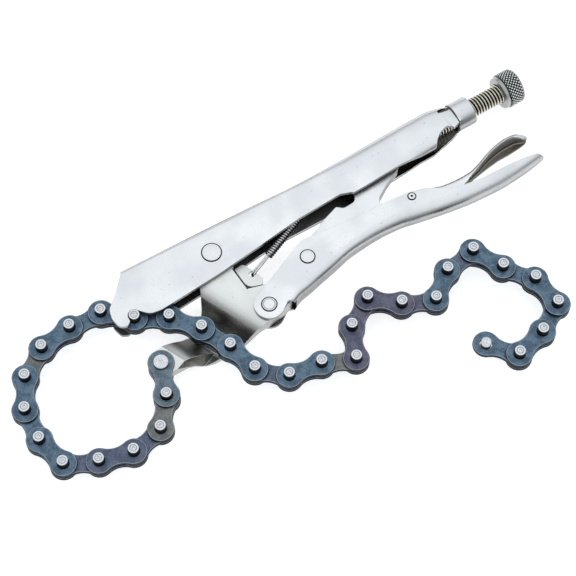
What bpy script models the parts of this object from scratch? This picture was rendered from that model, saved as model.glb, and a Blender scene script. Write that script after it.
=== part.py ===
"""A locking chain clamp lying on its side, with its leaf chain hooked into a loop and its tail laid out."""

import math

import bmesh
import bpy
from mathutils import Matrix, Vector

# Shared clearances and counts
GAP = 0.0003
OVERRUN = 0.004
MERGE = 0.00001
ARC_STEPS = 3
CURL_STEPS = 3
RING_STEPS = 18
HOLE_STEPS = 12

# Chain: a leaf chain of standard pitch, whose pins stand proud of its plates
LINK_COUNT = 31
CHAIN_PITCH = 0.015875
PLATE_END_RADIUS = 0.0063
PLATE_WAIST_HALF = 0.0041
OUTER_PLATE = 0.0013
INNER_BLOCK = 0.0022
CHAIN_PIN_RADIUS = 0.00254
CHAIN_PIN_PROUD = 0.0042
END_ARC_STEPS = 6
WAIST_STEPS = 2
CHAIN_PIN_STEPS = 10
STACK_HALF = INNER_BLOCK / 2 + GAP + OUTER_PLATE
CHAIN_PIN_HALF = STACK_HALF + CHAIN_PIN_PROUD
NOTCH_PIN = 13
# Heading of each link in the layout, in degrees anticlockwise from the screw's axis
LINK_HEADINGS = (
    -111, -129.5, -168.5, 165, 153, 103, 85.5, 61.5, 33.5, 8.5, -3,
    -42.5, -30, -51.5, -65.5, -76.5, -43, -8.5, -23.5, 65, 31,
    -40.5, -24, 37, 8.5, -63, -54, -84.5, -150, -166, 127,
)  # fmt: skip

# Chain anchor on the lower jaw: two plates outside the first link, and a rivet
ANCHOR_X = -0.0472
ANCHOR_Y = -0.0349
ANCHOR_PLATE = 0.0012
ANCHOR_PLATE_LOW = STACK_HALF + GAP
ANCHOR_PLATE_HIGH = ANCHOR_PLATE_LOW + ANCHOR_PLATE
ANCHOR_HEAD_RADIUS = 0.0035
ANCHOR_HEAD = 0.0008
ANCHOR_SHANK_RADIUS = 0.0025

# Upper handle: a folded channel with a hooked nose, curled in below the screw and closed into a collar
HANDLE_REAR = 0.13794
HANDLE_DEPTH = 0.024
HANDLE_WALL = 0.0019
HANDLE_HALF_WIDTH = 0.0060
HANDLE_REAR_HALF_WIDTH = 0.0070
HANDLE_FOLD_RADIUS = 0.0026
HANDLE_MOUTH_Y = -0.0160
HANDLE_CURL_MOUTH_Y = -0.0080
HANDLE_CURL = 0.0070
HANDLE_CURL_IN = 0.0037
# Side outline: along, across and corner radius. What lies in front of the pivot is in shares of the notch
# pin's distance from it, what lies behind in shares of the rear length, and the rest in shares of the depth
HANDLE_OUTLINE_SHARES = (
    (-0.8807, 0.700, 0.0),
    (-0.8807, 0.545, 0.03),
    (-1.0388, 0.210, 0.25),
    (-1.1825, -0.030, 0.22),
    (-1.2091, -0.240, 0.22),
    (-1.1825, -0.450, 0.12),
    (-1.1086, -0.520, 0.10),
    (-1.0634, -0.440, 0.04),
    (-1.0552, -0.330, 0.02),
    (-0.9525, -0.310, 0.05),
    (-0.8540, -0.510, 0.25),
    (-0.7390, -0.552, 0.40),
    (-0.4516, -0.520, 0.60),
    (-0.0493, -0.468, 0.60),
    (0.1460, -0.370, 0.60),
    (0.3168, -0.255, 0.60),
    (0.4848, -0.222, 0.10),
    (0.5262, -0.315, 0.10),
    (0.5785, -0.335, 0.20),
    (0.7163, -0.300, 0.40),
    (0.8650, -0.300, 0.10),
    (0.8953, -0.230, 0.15),
    (0.9366, -0.135, 0.10),
    (0.9628, -0.190, 0.05),
    (0.9807, -0.120, 0.03),
    (1.0000, -0.050, 0.0),
    (1.0000, 0.700, 0.0),
)
# Channel stations: along, top of the fold, half width, fold radius and how far the mouth curls in
HANDLE_STATION_SHARES = (
    (-1.2317, 0.650, 0.0, 0.0, 0.0),
    (-0.8827, 0.592, 0.0, 0.0, 0.0),
    (0.0083, 0.536, 0.0, 0.0, 0.0),
    (0.2342, 0.488, 0.0, 0.04, 0.0),
    (0.3926, 0.455, 0.0, 0.12, 0.0),
    (0.5028, 0.476, 0.25, 0.45, 0.0),
    (0.5785, 0.492, 0.70, 0.80, 0.15),
    (0.6887, 0.520, 1.0, 1.0, 0.35),
    (0.7507, 0.532, 1.0, 1.0, 0.75),
    (0.8127, 0.545, 1.0, 1.0, 1.0),
    (0.9022, 0.548, 1.0, 1.0, 1.0),
    (0.9366, 0.520, 0.95, 0.95, 0.9),
    (0.9642, 0.475, 0.60, 0.85, 0.8),
    (0.9862, 0.430, 0.20, 0.80, 0.7),
    (1.0000, 0.430, 0.20, 0.80, 0.7),
)

# Adjusting screw, its axis parallel to the row's X axis
SCREW_AXIS_Y = 0.0038
SCREW_RADIUS = 0.00476
THREAD_PITCH = 0.0015875
THREAD_DEPTH = 0.00080
THREAD_COLUMNS = 8
THREAD_ROWS_PER_TURN = 3
SCREW_TIP_X = 0.0994
SCREW_PLAIN = 0.0236
THREAD_START_X = SCREW_TIP_X + SCREW_PLAIN
TIP_CHAMFER = 0.0008
COLLAR_OVERLAP = 0.00174
COLLAR_LENGTH = 0.0102
COLLAR_START_X = HANDLE_REAR - COLLAR_OVERLAP
COLLAR_END_X = COLLAR_START_X + COLLAR_LENGTH
COLLAR_RADIUS = 0.0071
SCREW_BARE = 0.0171
KNOB_FLANGE_X = COLLAR_END_X + SCREW_BARE
KNOB_BORE_DEPTH = 0.0065
SCREW_END_X = KNOB_FLANGE_X + KNOB_BORE_DEPTH
KNOB_FLANGE = 0.0020
KNOB_FLANGE_RADIUS = 0.0080
KNOB_LENGTH = 0.0080
KNOB_RADIUS = 0.0088
KNOB_CHAMFER = 0.0009
KNOB_STEPS = 24

# Pivots of the linkage, measured from the main pivot
LEVER_PIVOT_X = 0.0091
LEVER_PIVOT_Y = -0.0365
LINK_PIVOT_X = 0.0368
LINK_PIVOT_Y = -0.0250
RELEASE_PIVOT_X = 0.0950
RELEASE_PIVOT_Y = -0.0238
LINK_NOSE_X = 0.0950
LINK_NOSE_Y = 0.0031

# Rivets of the linkage
MAIN_HEAD_RADIUS = 0.0044
LEVER_HEAD_RADIUS = 0.0033
LINK_HEAD_RADIUS = 0.0032
RELEASE_HEAD_RADIUS = 0.00165
RIVET_HEAD = 0.0008
RIVET_PROUD = 0.0003
RIVET_SHANK_SHARE = 0.62
CENTRE_DIMPLE_RADIUS = 0.0006
CENTRE_DIMPLE_DEPTH = 0.0005
RIVET_STEPS = 16

# Lower jaw: sheet that dips under the chain and rises again to the chain's anchor
JAW_HALF_WIDTH = 0.0037
JAW_FLANGE = 0.0017
JAW_VALLEY_WALL = 0.0020
VALLEY_CENTRE_X = -0.01935
VALLEY_CENTRE_Y = -0.0363
VALLEY_HEADING = -65.5
VALLEY_REACH = 0.0250
JAW_REACH_X = 0.0300
JAW_REACH_Y = 0.0460
JAW_OUTLINE_SHARES = (
    (-0.260, 0.180, 0.10),
    (-0.300, 0.000, 0.15),
    (-0.440, -0.256, 0.20),
    (-0.570, -0.420, 0.20),
    (-0.780, -0.560, 0.20),
    (-1.080, -0.600, 0.20),
    (-1.400, -0.600, 0.30),
    (-1.740, -0.630, 0.12),
    (-1.750, -0.890, 0.12),
    (-1.400, -0.895, 0.15),
    (-1.120, -0.900, 0.20),
    (-0.820, -0.950, 0.30),
    (-0.200, -0.935, 0.30),
    (0.160, -0.927, 0.20),
    (0.420, -0.908, 0.10),
    (0.600, -0.875, 0.05),
    (0.690, -0.840, 0.03),
    (0.620, -0.780, 0.05),
    (0.480, -0.560, 0.20),
    (0.190, -0.500, 0.10),
    (0.170, -0.240, 0.10),
    (0.290, -0.060, 0.15),
    (0.300, 0.180, 0.20),
    (0.000, 0.215, 0.20),
)
# Heights across the valley: distance from its centre line, near face and far face
VALLEY_PROFILE_SHARES = (
    (-0.90, 1.00, -1.00),
    (-0.72, 1.00, -1.00),
    (-0.68, 0.92, -0.88),
    (-0.56, 0.62, -0.55),
    (-0.44, 0.20, -0.16),
    (-0.32, -0.30, -0.04),
    (-0.22, -0.68, 0.00),
    (-0.14, -1.00, 0.00),
    (0.00, -1.00, 0.00),
    (0.14, -1.00, 0.00),
    (0.22, -0.80, 0.00),
    (0.32, -0.48, -0.14),
    (0.43, -0.05, -0.45),
    (0.54, 0.40, -0.82),
    (0.61, 0.72, -1.00),
    (0.74, 1.00, -1.00),
)
# Hollow between the jaw's flanges, kept clear of the valley's slope
JAW_SLOT_SHARES = (
    (-0.433, 0.283, 0.0),
    (-0.117, -0.500, 0.0),
    (0.167, -0.909, 0.0),
    (0.420, -0.891, 0.0),
    (0.400, -0.600, 0.0),
    (1.000, -0.400, 0.0),
    (1.000, 0.283, 0.0),
)
# Lip of the jaw beyond the chain: a slope from the near face down to the outer edge
LIP_X = -0.0360
LIP_Y = -0.0387
LIP_Z = 0.0027
LIP_NORMAL = (0.31, -0.82, 0.475)
LIP_REACH = 0.0240
# Spring tab of the jaw
TAB_SHARES = (
    (0.10, -0.250, 0.0),
    (0.345, -0.225, 0.05),
    (0.490, -0.465, 0.05),
    (0.430, -0.530, 0.05),
    (0.170, -0.530, 0.0),
)
TAB_THICKNESS = 0.0015
TAB_TOP = 0.0011
TAB_HOLE_RADIUS = 0.0013
TAB_HOLE_X = 0.0114
TAB_HOLE_Y = -0.0173

# Lever: the lower handle, a channel folded along its underside
LEVER_WALL = 0.0019
LEVER_HALF_WIDTH = 0.0060
LEVER_END_RADIUS = 0.0071
LEVER_LENGTH = 0.1490
LEVER_DEPTH = 0.0240
LEVER_SPINE_START_X = 0.0212
# Upper outline from the link end to the tip, from the lever's pivot
LEVER_OUTLINE_SHARES = (
    (0.198, 0.840, 0.10),
    (0.350, 0.745, 0.60),
    (0.416, 0.720, 0.60),
    (0.576, 0.640, 0.30),
    (0.624, 0.560, 0.30),
    (0.714, 0.240, 0.60),
    (0.800, 0.155, 0.60),
    (0.930, 0.110, 0.40),
    (0.990, 0.060, 0.15),
    (1.010, -0.060, 0.15),
    (1.003, -0.140, 0.10),
    (0.960, -0.400, 0.10),
    (0.074, -0.400, 0.0),
    (0.071, -0.160, 0.03),
    (0.056, -0.120, 0.05),
)
# Channel stations: along, underside, half width and fold radius
LEVER_STATION_SHARES = (
    (-0.060, -0.440, 1.00, 0.43),
    (0.046, -0.320, 1.00, 0.43),
    (0.076, -0.195, 1.00, 0.45),
    (0.107, -0.115, 1.00, 0.48),
    (0.143, -0.075, 1.00, 0.50),
    (0.191, -0.004, 1.00, 0.50),
    (0.238, 0.054, 1.00, 0.55),
    (0.330, 0.171, 1.00, 0.66),
    (0.416, 0.198, 1.00, 0.80),
    (0.497, 0.167, 1.00, 0.90),
    (0.549, 0.096, 1.00, 0.97),
    (0.660, -0.037, 1.00, 0.97),
    (0.756, -0.117, 1.00, 0.97),
    (0.856, -0.146, 1.00, 0.95),
    (0.932, -0.096, 0.97, 0.90),
    (0.975, -0.058, 0.86, 0.80),
    (1.002, -0.030, 0.62, 0.58),
    (1.018, 0.020, 0.40, 0.36),
)

# Toggle link: folded sheet between the lever and the screw's tip
LINK_HALF_WIDTH = 0.0030
LINK_WALL = 0.0014
LINK_END_RADIUS = 0.0060
LINK_LENGTH = 0.0646
LINK_DEPTH = 0.0200
LINK_NOSE_RADIUS = 0.0040
# Where the link's round end starts and stops, in half turns from the line between its pivots
LINK_END_START = 1.45
LINK_END_STOP = 0.55
LINK_OUTLINE_SHARES = (
    (0.225, 0.605, 0.03),
    (0.400, 0.800, 0.03),
    (0.450, 0.650, 0.15),
    (0.545, 0.710, 0.15),
    (0.565, 0.900, 0.03),
    (0.760, 1.340, 0.20),
    (0.870, 1.600, 0.10),
    (0.955, 1.560, 0.15),
    (0.968, 0.930, 0.10),
    (0.818, 0.705, 0.15),
    (0.708, 0.490, 0.15),
    (0.682, 0.320, 0.08),
    (0.725, 0.270, 0.05),
    (0.785, 0.250, 0.03),
    (0.782, 0.195, 0.03),
    (0.700, 0.100, 0.10),
    (0.600, 0.000, 0.20),
    (0.300, -0.120, 0.30),
)
# Hollow between the link's cheeks, which ends short of its right edge and nose
LINK_HOLLOW_SHARES = (
    (-0.200, -0.600, 0.0),
    (0.300, -0.600, 0.0),
    (0.560, -0.120, 0.10),
    (0.640, 0.340, 0.10),
    (0.760, 0.780, 0.10),
    (0.800, 1.100, 0.10),
    (0.700, 1.800, 0.0),
    (-0.200, 1.800, 0.0),
)

# Release lever: a leaf inside the lever, rising behind
RELEASE_HALF_WIDTH = 0.0037
RELEASE_LEAF_HALF_WIDTH = 0.0055
RELEASE_WALL = 0.0012
RELEASE_LENGTH = 0.0660
RELEASE_DEPTH = 0.0080
RELEASE_OUTLINE_SHARES = (
    (-0.118, 0.175, 0.10),
    (-0.070, 0.500, 0.05),
    (0.030, 0.500, 0.30),
    (0.500, 0.500, 0.0),
    (0.760, 0.700, 0.0),
    (0.900, 0.700, 0.30),
    (0.990, 0.340, 0.30),
    (1.006, 0.025, 0.15),
    (0.985, -0.130, 0.15),
    (0.909, -0.140, 0.40),
    (0.742, -0.160, 0.60),
    (0.636, -0.290, 0.60),
    (0.500, -0.510, 0.60),
    (0.379, -0.840, 0.60),
    (0.273, -0.950, 0.30),
    (0.076, -0.525, 0.30),
    (-0.060, -0.360, 0.20),
    (-0.124, -0.075, 0.10),
)
# Channel stations: along, top of the fold, half width and fold radius
RELEASE_STATION_SHARES = (
    (-0.140, 0.330, 0.00, 0.40),
    (-0.050, 0.350, 0.00, 0.40),
    (0.030, 0.340, 0.00, 0.45),
    (0.150, 0.110, 0.00, 0.50),
    (0.260, -0.150, 0.00, 0.60),
    (0.373, -0.225, 0.00, 0.70),
    (0.460, -0.240, 0.10, 0.75),
    (0.561, -0.085, 0.35, 0.80),
    (0.636, 0.150, 0.60, 0.80),
    (0.742, 0.390, 0.90, 0.75),
    (0.833, 0.490, 1.00, 0.75),
    (0.909, 0.460, 0.72, 0.75),
    (0.970, 0.250, 0.10, 0.80),
    (1.010, 0.000, -0.80, 0.90),
)

# Return spring between the jaw's tab and a tab inside the handle
SPRING_RADIUS = 0.00185
SPRING_WIRE_RADIUS = 0.0004
SPRING_TURNS = 22
SPRING_TURN_PITCH = 0.00130
SPRING_POINTS_PER_TURN = 8
SPRING_LEAD = 0.0125
SPRING_TAB_X = 0.0590
SPRING_TAB_Y = 0.0022
SPRING_TAB_HALF = 0.0015
SPRING_HOOK_DROP = 0.0022

# Where the layout's middle lies, from the main pivot
REST_CENTRE_X = 0.02781
REST_CENTRE_Y = -0.05387
MID_HEIGHT = CHAIN_PIN_HALF + GAP + JAW_VALLEY_WALL


def clear_scene():
    """Removes whatever the scene holds."""
    for thing in list(bpy.data.objects):
        bpy.data.objects.remove(thing)


def finish(name, colour, roughness, metallic):
    """A Principled material of one colour."""
    material = bpy.data.materials.new(name)
    material.use_nodes = True
    shader = material.node_tree.nodes["Principled BSDF"]
    shader.inputs["Base Color"].default_value = (*colour, 1.0)
    shader.inputs["Roughness"].default_value = roughness
    shader.inputs["Metallic"].default_value = metallic
    material.diffuse_color = (*colour, 1.0)
    return material


def add_object(name, body):
    """Links a new object that holds this bmesh."""
    bmesh.ops.recalc_face_normals(body, faces=body.faces)
    mesh = bpy.data.meshes.new(name)
    body.to_mesh(mesh)
    body.free()
    made = bpy.data.objects.new(name, mesh)
    bpy.context.scene.collection.objects.link(made)
    return made


def bake_modifiers(thing):
    """Replaces an object's mesh by what its modifiers make of it."""
    graph = bpy.context.evaluated_depsgraph_get()
    graph.update()
    made = bpy.data.meshes.new_from_object(thing.evaluated_get(graph))
    thing.modifiers.clear()
    thing.data = made


def combine(thing, tool, operation):
    """Joins, cuts or intersects an object with a tool, which is then removed."""
    step = thing.modifiers.new(operation.lower(), "BOOLEAN")
    step.operation = operation
    step.solver = "EXACT"
    step.object = tool
    bake_modifiers(thing)
    bpy.data.objects.remove(tool)
    body = bmesh.new()
    body.from_mesh(thing.data)
    bmesh.ops.dissolve_limit(body, angle_limit=math.radians(0.1), verts=body.verts, edges=body.edges)
    bmesh.ops.remove_doubles(body, verts=body.verts, dist=MERGE)
    body.to_mesh(thing.data)
    body.free()
    return thing


def arc(centre, radius, start, end, steps):
    """Points on an arc, from one angle to the other, in radians."""
    angles = [start + (end - start) * step / steps for step in range(steps + 1)]
    return [(centre[0] + radius * math.cos(a), centre[1] + radius * math.sin(a)) for a in angles]


def rounded(corners, steps=ARC_STEPS):
    """An outline whose corners, each (x, y, radius), are rounded where their sides leave room."""
    points = []
    for index, (x, y, radius) in enumerate(corners):
        here = Vector((x, y))
        before = Vector(corners[index - 1][:2]) - here
        after = Vector(corners[(index + 1) % len(corners)][:2]) - here
        half = before.angle(after) / 2
        wanted = radius / math.tan(half) if half < math.pi / 2 else 0
        reach = min(wanted, before.length / 2, after.length / 2)
        if radius == 0 or reach * math.cos(half) < GAP / 2:
            points.append((x, y))
            continue
        start = here + before.normalized() * reach
        end = here + after.normalized() * reach
        for step in range(steps + 1):
            t = step / steps
            spot = start * (1 - t) ** 2 + here * (2 * t * (1 - t)) + end * t**2
            points.append((spot.x, spot.y))
    return points


def shaped(shares, length, depth, origin=(0, 0), heading=0.0):
    """Corners in real sizes from shares of a length and a depth, turned and moved to an origin."""
    c, s = math.cos(heading), math.sin(heading)
    corners = []
    for along, across, radius in shares:
        u, v = along * length, across * depth
        corners.append((origin[0] + c * u - s * v, origin[1] + s * u + c * v, radius * depth))
    return corners


def prism(name, outline, low, high):
    """A flat outline given thickness along Z."""
    body = bmesh.new()
    face = body.faces.new([body.verts.new((x, y, low)) for x, y in outline])
    extruded = bmesh.ops.extrude_face_region(body, geom=[face])
    raised = [item for item in extruded["geom"] if isinstance(item, bmesh.types.BMVert)]
    bmesh.ops.translate(body, verts=raised, vec=(0, 0, high - low))
    return add_object(name, body)


def turned(name, profile, steps):
    """A solid of revolution about Z from (radius, height) pairs that run from axis to axis."""
    body = bmesh.new()
    rings = []
    for radius, height in profile:
        if radius == 0:
            rings.append([body.verts.new((0, 0, height))])
            continue
        spots = arc((0, 0), radius, 0, 2 * math.pi, steps)[:-1]
        rings.append([body.verts.new((x, y, height)) for x, y in spots])
    for low, high in zip(rings, rings[1:]):
        for index in range(steps):
            after = (index + 1) % steps
            if len(low) == 1:
                body.faces.new((low[0], high[index], high[after]))
            elif len(high) == 1:
                body.faces.new((low[index], high[0], low[after]))
            else:
                body.faces.new((low[index], high[index], high[after], low[after]))
    return add_object(name, body)


def disc(name, x, y, radius, low, high, steps=RING_STEPS):
    """A plain round solid along Z."""
    return prism(name, arc((x, y), radius, 0, 2 * math.pi, steps)[:-1], low, high)


def box(name, low, high):
    """A block between two corners."""
    outline = ((low[0], low[1]), (high[0], low[1]), (high[0], high[1]), (low[0], high[1]))
    return prism(name, outline, low[2], high[2])


def lofted(name, loops):
    """A solid skinned over closed loops of equal count, with flat ends."""
    body = bmesh.new()
    rings = [[body.verts.new(point) for point in loop] for loop in loops]
    count = len(rings[0])
    for before, after in zip(rings, rings[1:]):
        for index in range(count):
            following = (index + 1) % count
            body.faces.new((before[index], before[following], after[following], after[index]))
    body.faces.new(rings[0])
    body.faces.new(rings[-1])
    return add_object(name, body)


def corner_arc(half_width, spine, radius, side):
    """The quarter fold between a channel's wall and its spine, as (height, across) pairs."""
    quarter = [math.pi / 2 * step / ARC_STEPS for step in range(ARC_STEPS + 1)]
    return [
        (half_width - radius * (1 - math.cos(a)), spine - side * radius * (1 - math.sin(a))) for a in quarter
    ]


def curled_wall(half_width, mouth, mouth_half, curl):
    """A channel wall's face below the fold, leaning in towards its mouth."""
    points = []
    for step in range(CURL_STEPS + 1):
        t = step / CURL_STEPS
        half = mouth_half * (1 - t) ** 2 + half_width * (1 - (1 - t) ** 2)
        points.append((half, mouth + curl * (t**2 + t * (1 - t) / 2)))
    return points


def channel_section(x, spine, half_width, radius, wall, mouth, mouth_half=None, curl=0.0):
    """One closed U-shaped loop at x, folded at the spine and open at the mouth."""
    side = 1 if spine > mouth else -1
    radius = min(radius, half_width)
    inner = max(radius - wall, GAP)
    if mouth_half is None:
        outer, inside = [(half_width, mouth)], [(half_width - wall, mouth)]
    else:
        outer = curled_wall(half_width, mouth, mouth_half, curl)
        inside = curled_wall(half_width - wall, mouth, mouth_half - wall, curl)
    outer += corner_arc(half_width, spine, radius, side)
    inside += corner_arc(half_width - wall, spine - side * wall, inner, side)
    loop = [(x, y, z) for z, y in outer] + [(x, y, -z) for z, y in reversed(outer)]
    loop += [(x, y, -z) for z, y in inside] + [(x, y, z) for z, y in reversed(inside)]
    return loop


def place(thing, material, parent, pivot=(0, 0), heading=0.0, offset=None):
    """Shades a piece, sets its origin on its joint's axis and hangs it on its parent."""
    turn = Matrix.Rotation(-heading, 4, "Z") @ Matrix.Translation((-pivot[0], -pivot[1], 0))
    thing.data.transform(turn)
    thing.data.materials.clear()
    thing.data.materials.append(material)
    thing.data.shade_smooth()
    thing.data.set_sharp_from_angle(angle=math.radians(30))
    thing.parent = parent
    at = pivot if offset is None else offset
    thing.location = (at[0], at[1], 0)
    thing.rotation_euler = (0, 0, heading)
    return thing


def plate_outline(end_radius=PLATE_END_RADIUS):
    """A chain plate from pin to pin: two round ends and a waist of concave arcs, tangent to them."""
    middle = CHAIN_PITCH / 2
    rise = (middle**2 + PLATE_WAIST_HALF**2 - end_radius**2) / (2 * (end_radius - PLATE_WAIST_HALF))
    lean = math.atan2(PLATE_WAIST_HALF + rise, middle)
    points = arc((0, 0), end_radius, lean, 2 * math.pi - lean, END_ARC_STEPS)
    points += arc((middle, -PLATE_WAIST_HALF - rise), rise, math.pi - lean, lean, WAIST_STEPS)[1:-1]
    points += arc((CHAIN_PITCH, 0), end_radius, lean - math.pi, math.pi - lean, END_ARC_STEPS)
    points += arc((middle, PLATE_WAIST_HALF + rise), rise, -lean, lean - math.pi, WAIST_STEPS)[1:-1]
    return points


def chain_pin_profile(half):
    """A chain pin's turned profile."""
    return ((0, -half), (CHAIN_PIN_RADIUS, -half), (CHAIN_PIN_RADIUS, half), (0, half))


def outer_link_mesh():
    """Two plates pressed on two pins."""
    plate_low = INNER_BLOCK / 2 + GAP
    link = prism("outer_link_master", plate_outline(), plate_low, STACK_HALF)
    combine(link, prism("far_plate", plate_outline(), -STACK_HALF, -plate_low), "UNION")
    for x in (0, CHAIN_PITCH):
        pin = turned("chain_pin", chain_pin_profile(CHAIN_PIN_HALF), CHAIN_PIN_STEPS)
        pin.data.transform(Matrix.Translation((x, 0, 0)))
        combine(link, pin, "UNION")
    mesh = link.data
    bpy.data.objects.remove(link)
    return mesh


def inner_link_mesh():
    """The block of inner plates, with a running hole for each pin."""
    link = prism("inner_link_master", plate_outline(), -INNER_BLOCK / 2, INNER_BLOCK / 2)
    for x in (0, CHAIN_PITCH):
        hole = disc("pin_hole", x, 0, CHAIN_PIN_RADIUS + GAP, -OVERRUN, OVERRUN, CHAIN_PIN_STEPS)
        combine(link, hole, "DIFFERENCE")
    mesh = link.data
    bpy.data.objects.remove(link)
    return mesh


def chain_pins():
    """Every pin's place, stepped one pitch at a time along the headings from the anchor."""
    spots = [Vector((ANCHOR_X, ANCHOR_Y))]
    for heading in LINK_HEADINGS:
        turn = math.radians(heading)
        spots.append(spots[-1] + CHAIN_PITCH * Vector((math.cos(turn), math.sin(turn))))
    return spots


def channel(name, outline, sections):
    """A folded channel: a lofted U kept only inside its side outline."""
    shell = lofted(name, sections)
    reach = 2 * HANDLE_REAR_HALF_WIDTH
    return combine(shell, prism("side_outline", outline, -reach, reach), "INTERSECT")


def rivet_hole(thing, spot, head_radius, face):
    """Cuts a rivet's shank hole and the seats of its two heads."""
    shank = head_radius * RIVET_SHANK_SHARE + GAP
    combine(thing, disc("shank_hole", *spot, shank, -face - OVERRUN, face + OVERRUN), "DIFFERENCE")
    seat = face + RIVET_PROUD - RIVET_HEAD - GAP
    for low, high in ((seat, face + OVERRUN), (-face - OVERRUN, -seat)):
        combine(thing, disc("head_seat", *spot, head_radius + GAP, low, high), "DIFFERENCE")


def rivet(name, head_radius, face, dimple=False):
    """A rivet with two flat heads, and a small centre dimple where it has one."""
    top = face + RIVET_PROUD
    under = top - RIVET_HEAD
    shank = head_radius * RIVET_SHANK_SHARE
    middle = ((CENTRE_DIMPLE_RADIUS, top), (0, top - CENTRE_DIMPLE_DEPTH)) if dimple else ((0, top),)
    profile = ((0, -top), (head_radius, -top), (head_radius, -under), (shank, -under), (shank, under))
    return turned(name, (*profile, (head_radius, under), (head_radius, top), *middle), RIVET_STEPS)


def handle_along(share, front):
    """A place along the handle: the nose follows the notch pin, and the rest the rear length."""
    return share * (HANDLE_REAR if share > 0 else front)


def handle_sections(front):
    """The upper handle's sections, widening behind to hold the screw and curling in below it."""
    spread = HANDLE_REAR_HALF_WIDTH - HANDLE_HALF_WIDTH
    swell = HANDLE_REAR_HALF_WIDTH - HANDLE_FOLD_RADIUS
    sections = []
    for x, y, w, r, c in HANDLE_STATION_SHARES:
        half = HANDLE_HALF_WIDTH + w * spread
        radius = HANDLE_FOLD_RADIUS + r * swell
        mouth = HANDLE_MOUTH_Y + c * (HANDLE_CURL_MOUTH_Y - HANDLE_MOUTH_Y)
        mouth_half = half - c * HANDLE_CURL_IN
        place_x, spine = handle_along(x, front), y * HANDLE_DEPTH
        section = channel_section(place_x, spine, half, radius, HANDLE_WALL, mouth, mouth_half, HANDLE_CURL)
        sections.append(section)
    return sections


def collar():
    """The plain round collar behind the channel."""
    profile = ((0, COLLAR_START_X), (COLLAR_RADIUS, COLLAR_START_X), (COLLAR_RADIUS, COLLAR_END_X))
    made = turned("collar", (*profile, (0, COLLAR_END_X)), RING_STEPS)
    made.data.transform(screw_axis_matrix())
    return made


def upper_handle(pins):
    """The upper handle with its hooked nose, collar, rivet seats, pin notch and spring tab."""
    notch = pins[NOTCH_PIN - 1]
    corners = []
    for along, across, radius in HANDLE_OUTLINE_SHARES:
        corners.append((handle_along(along, -notch.x), across * HANDLE_DEPTH, radius * HANDLE_DEPTH))
    handle = channel("upper_handle", rounded(corners), handle_sections(-notch.x))
    combine(handle, collar(), "UNION")
    bore = disc("screw_bore", 0, 0, SCREW_RADIUS + GAP, SCREW_TIP_X - OVERRUN, COLLAR_END_X + OVERRUN)
    bore.data.transform(screw_axis_matrix())
    combine(handle, bore, "DIFFERENCE")
    seat = CHAIN_PIN_RADIUS + GAP
    reach = HANDLE_HALF_WIDTH + OVERRUN
    for pin in pins[NOTCH_PIN - 2 : NOTCH_PIN + 1]:
        combine(handle, disc("pin_notch", pin.x, pin.y, seat, -reach, reach), "DIFFERENCE")
    rivet_hole(handle, (0, 0), MAIN_HEAD_RADIUS, HANDLE_HALF_WIDTH)
    combine(handle, spring_anchor_tab(), "UNION")
    return handle


def screw_axis_matrix():
    """Turns what is made along Z to lie along the screw's axis."""
    return Matrix.Translation((0, SCREW_AXIS_Y, 0)) @ Matrix.Rotation(math.pi / 2, 4, "Y")


def spring_anchor_tab():
    """The tab that hangs from the handle's fold and holds the spring's far end."""
    spine = HANDLE_DEPTH * HANDLE_STATION_SHARES[4][1]
    low = (SPRING_TAB_X, SPRING_TAB_Y - SPRING_TAB_HALF, -SPRING_TAB_HALF)
    high = (SPRING_TAB_X + HANDLE_WALL, spine - HANDLE_WALL / 2, SPRING_TAB_HALF)
    return box("spring_anchor_tab", low, high)


def valley_height(distance, profile):
    """The height of one jaw face at a distance from the valley's centre line."""
    last = profile[0]
    for here in profile[1:]:
        if distance <= here[0]:
            share = max(0.0, (distance - last[0]) / (here[0] - last[0]))
            return last[1] + share * (here[1] - last[1])
        last = here
    return last[1]


def jaw_profiles():
    """The near and far faces' heights across the valley."""
    floor = -MID_HEIGHT + JAW_VALLEY_WALL
    near, far = [], []
    for at, up, down in VALLEY_PROFILE_SHARES:
        half = JAW_HALF_WIDTH if at > 0 else STACK_HALF
        distance = at * VALLEY_REACH
        near.append((distance, half + (up - 1) / 2 * (half - floor)))
        far.append((distance, -MID_HEIGHT - down * (MID_HEIGHT - half)))
    return near, far


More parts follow.
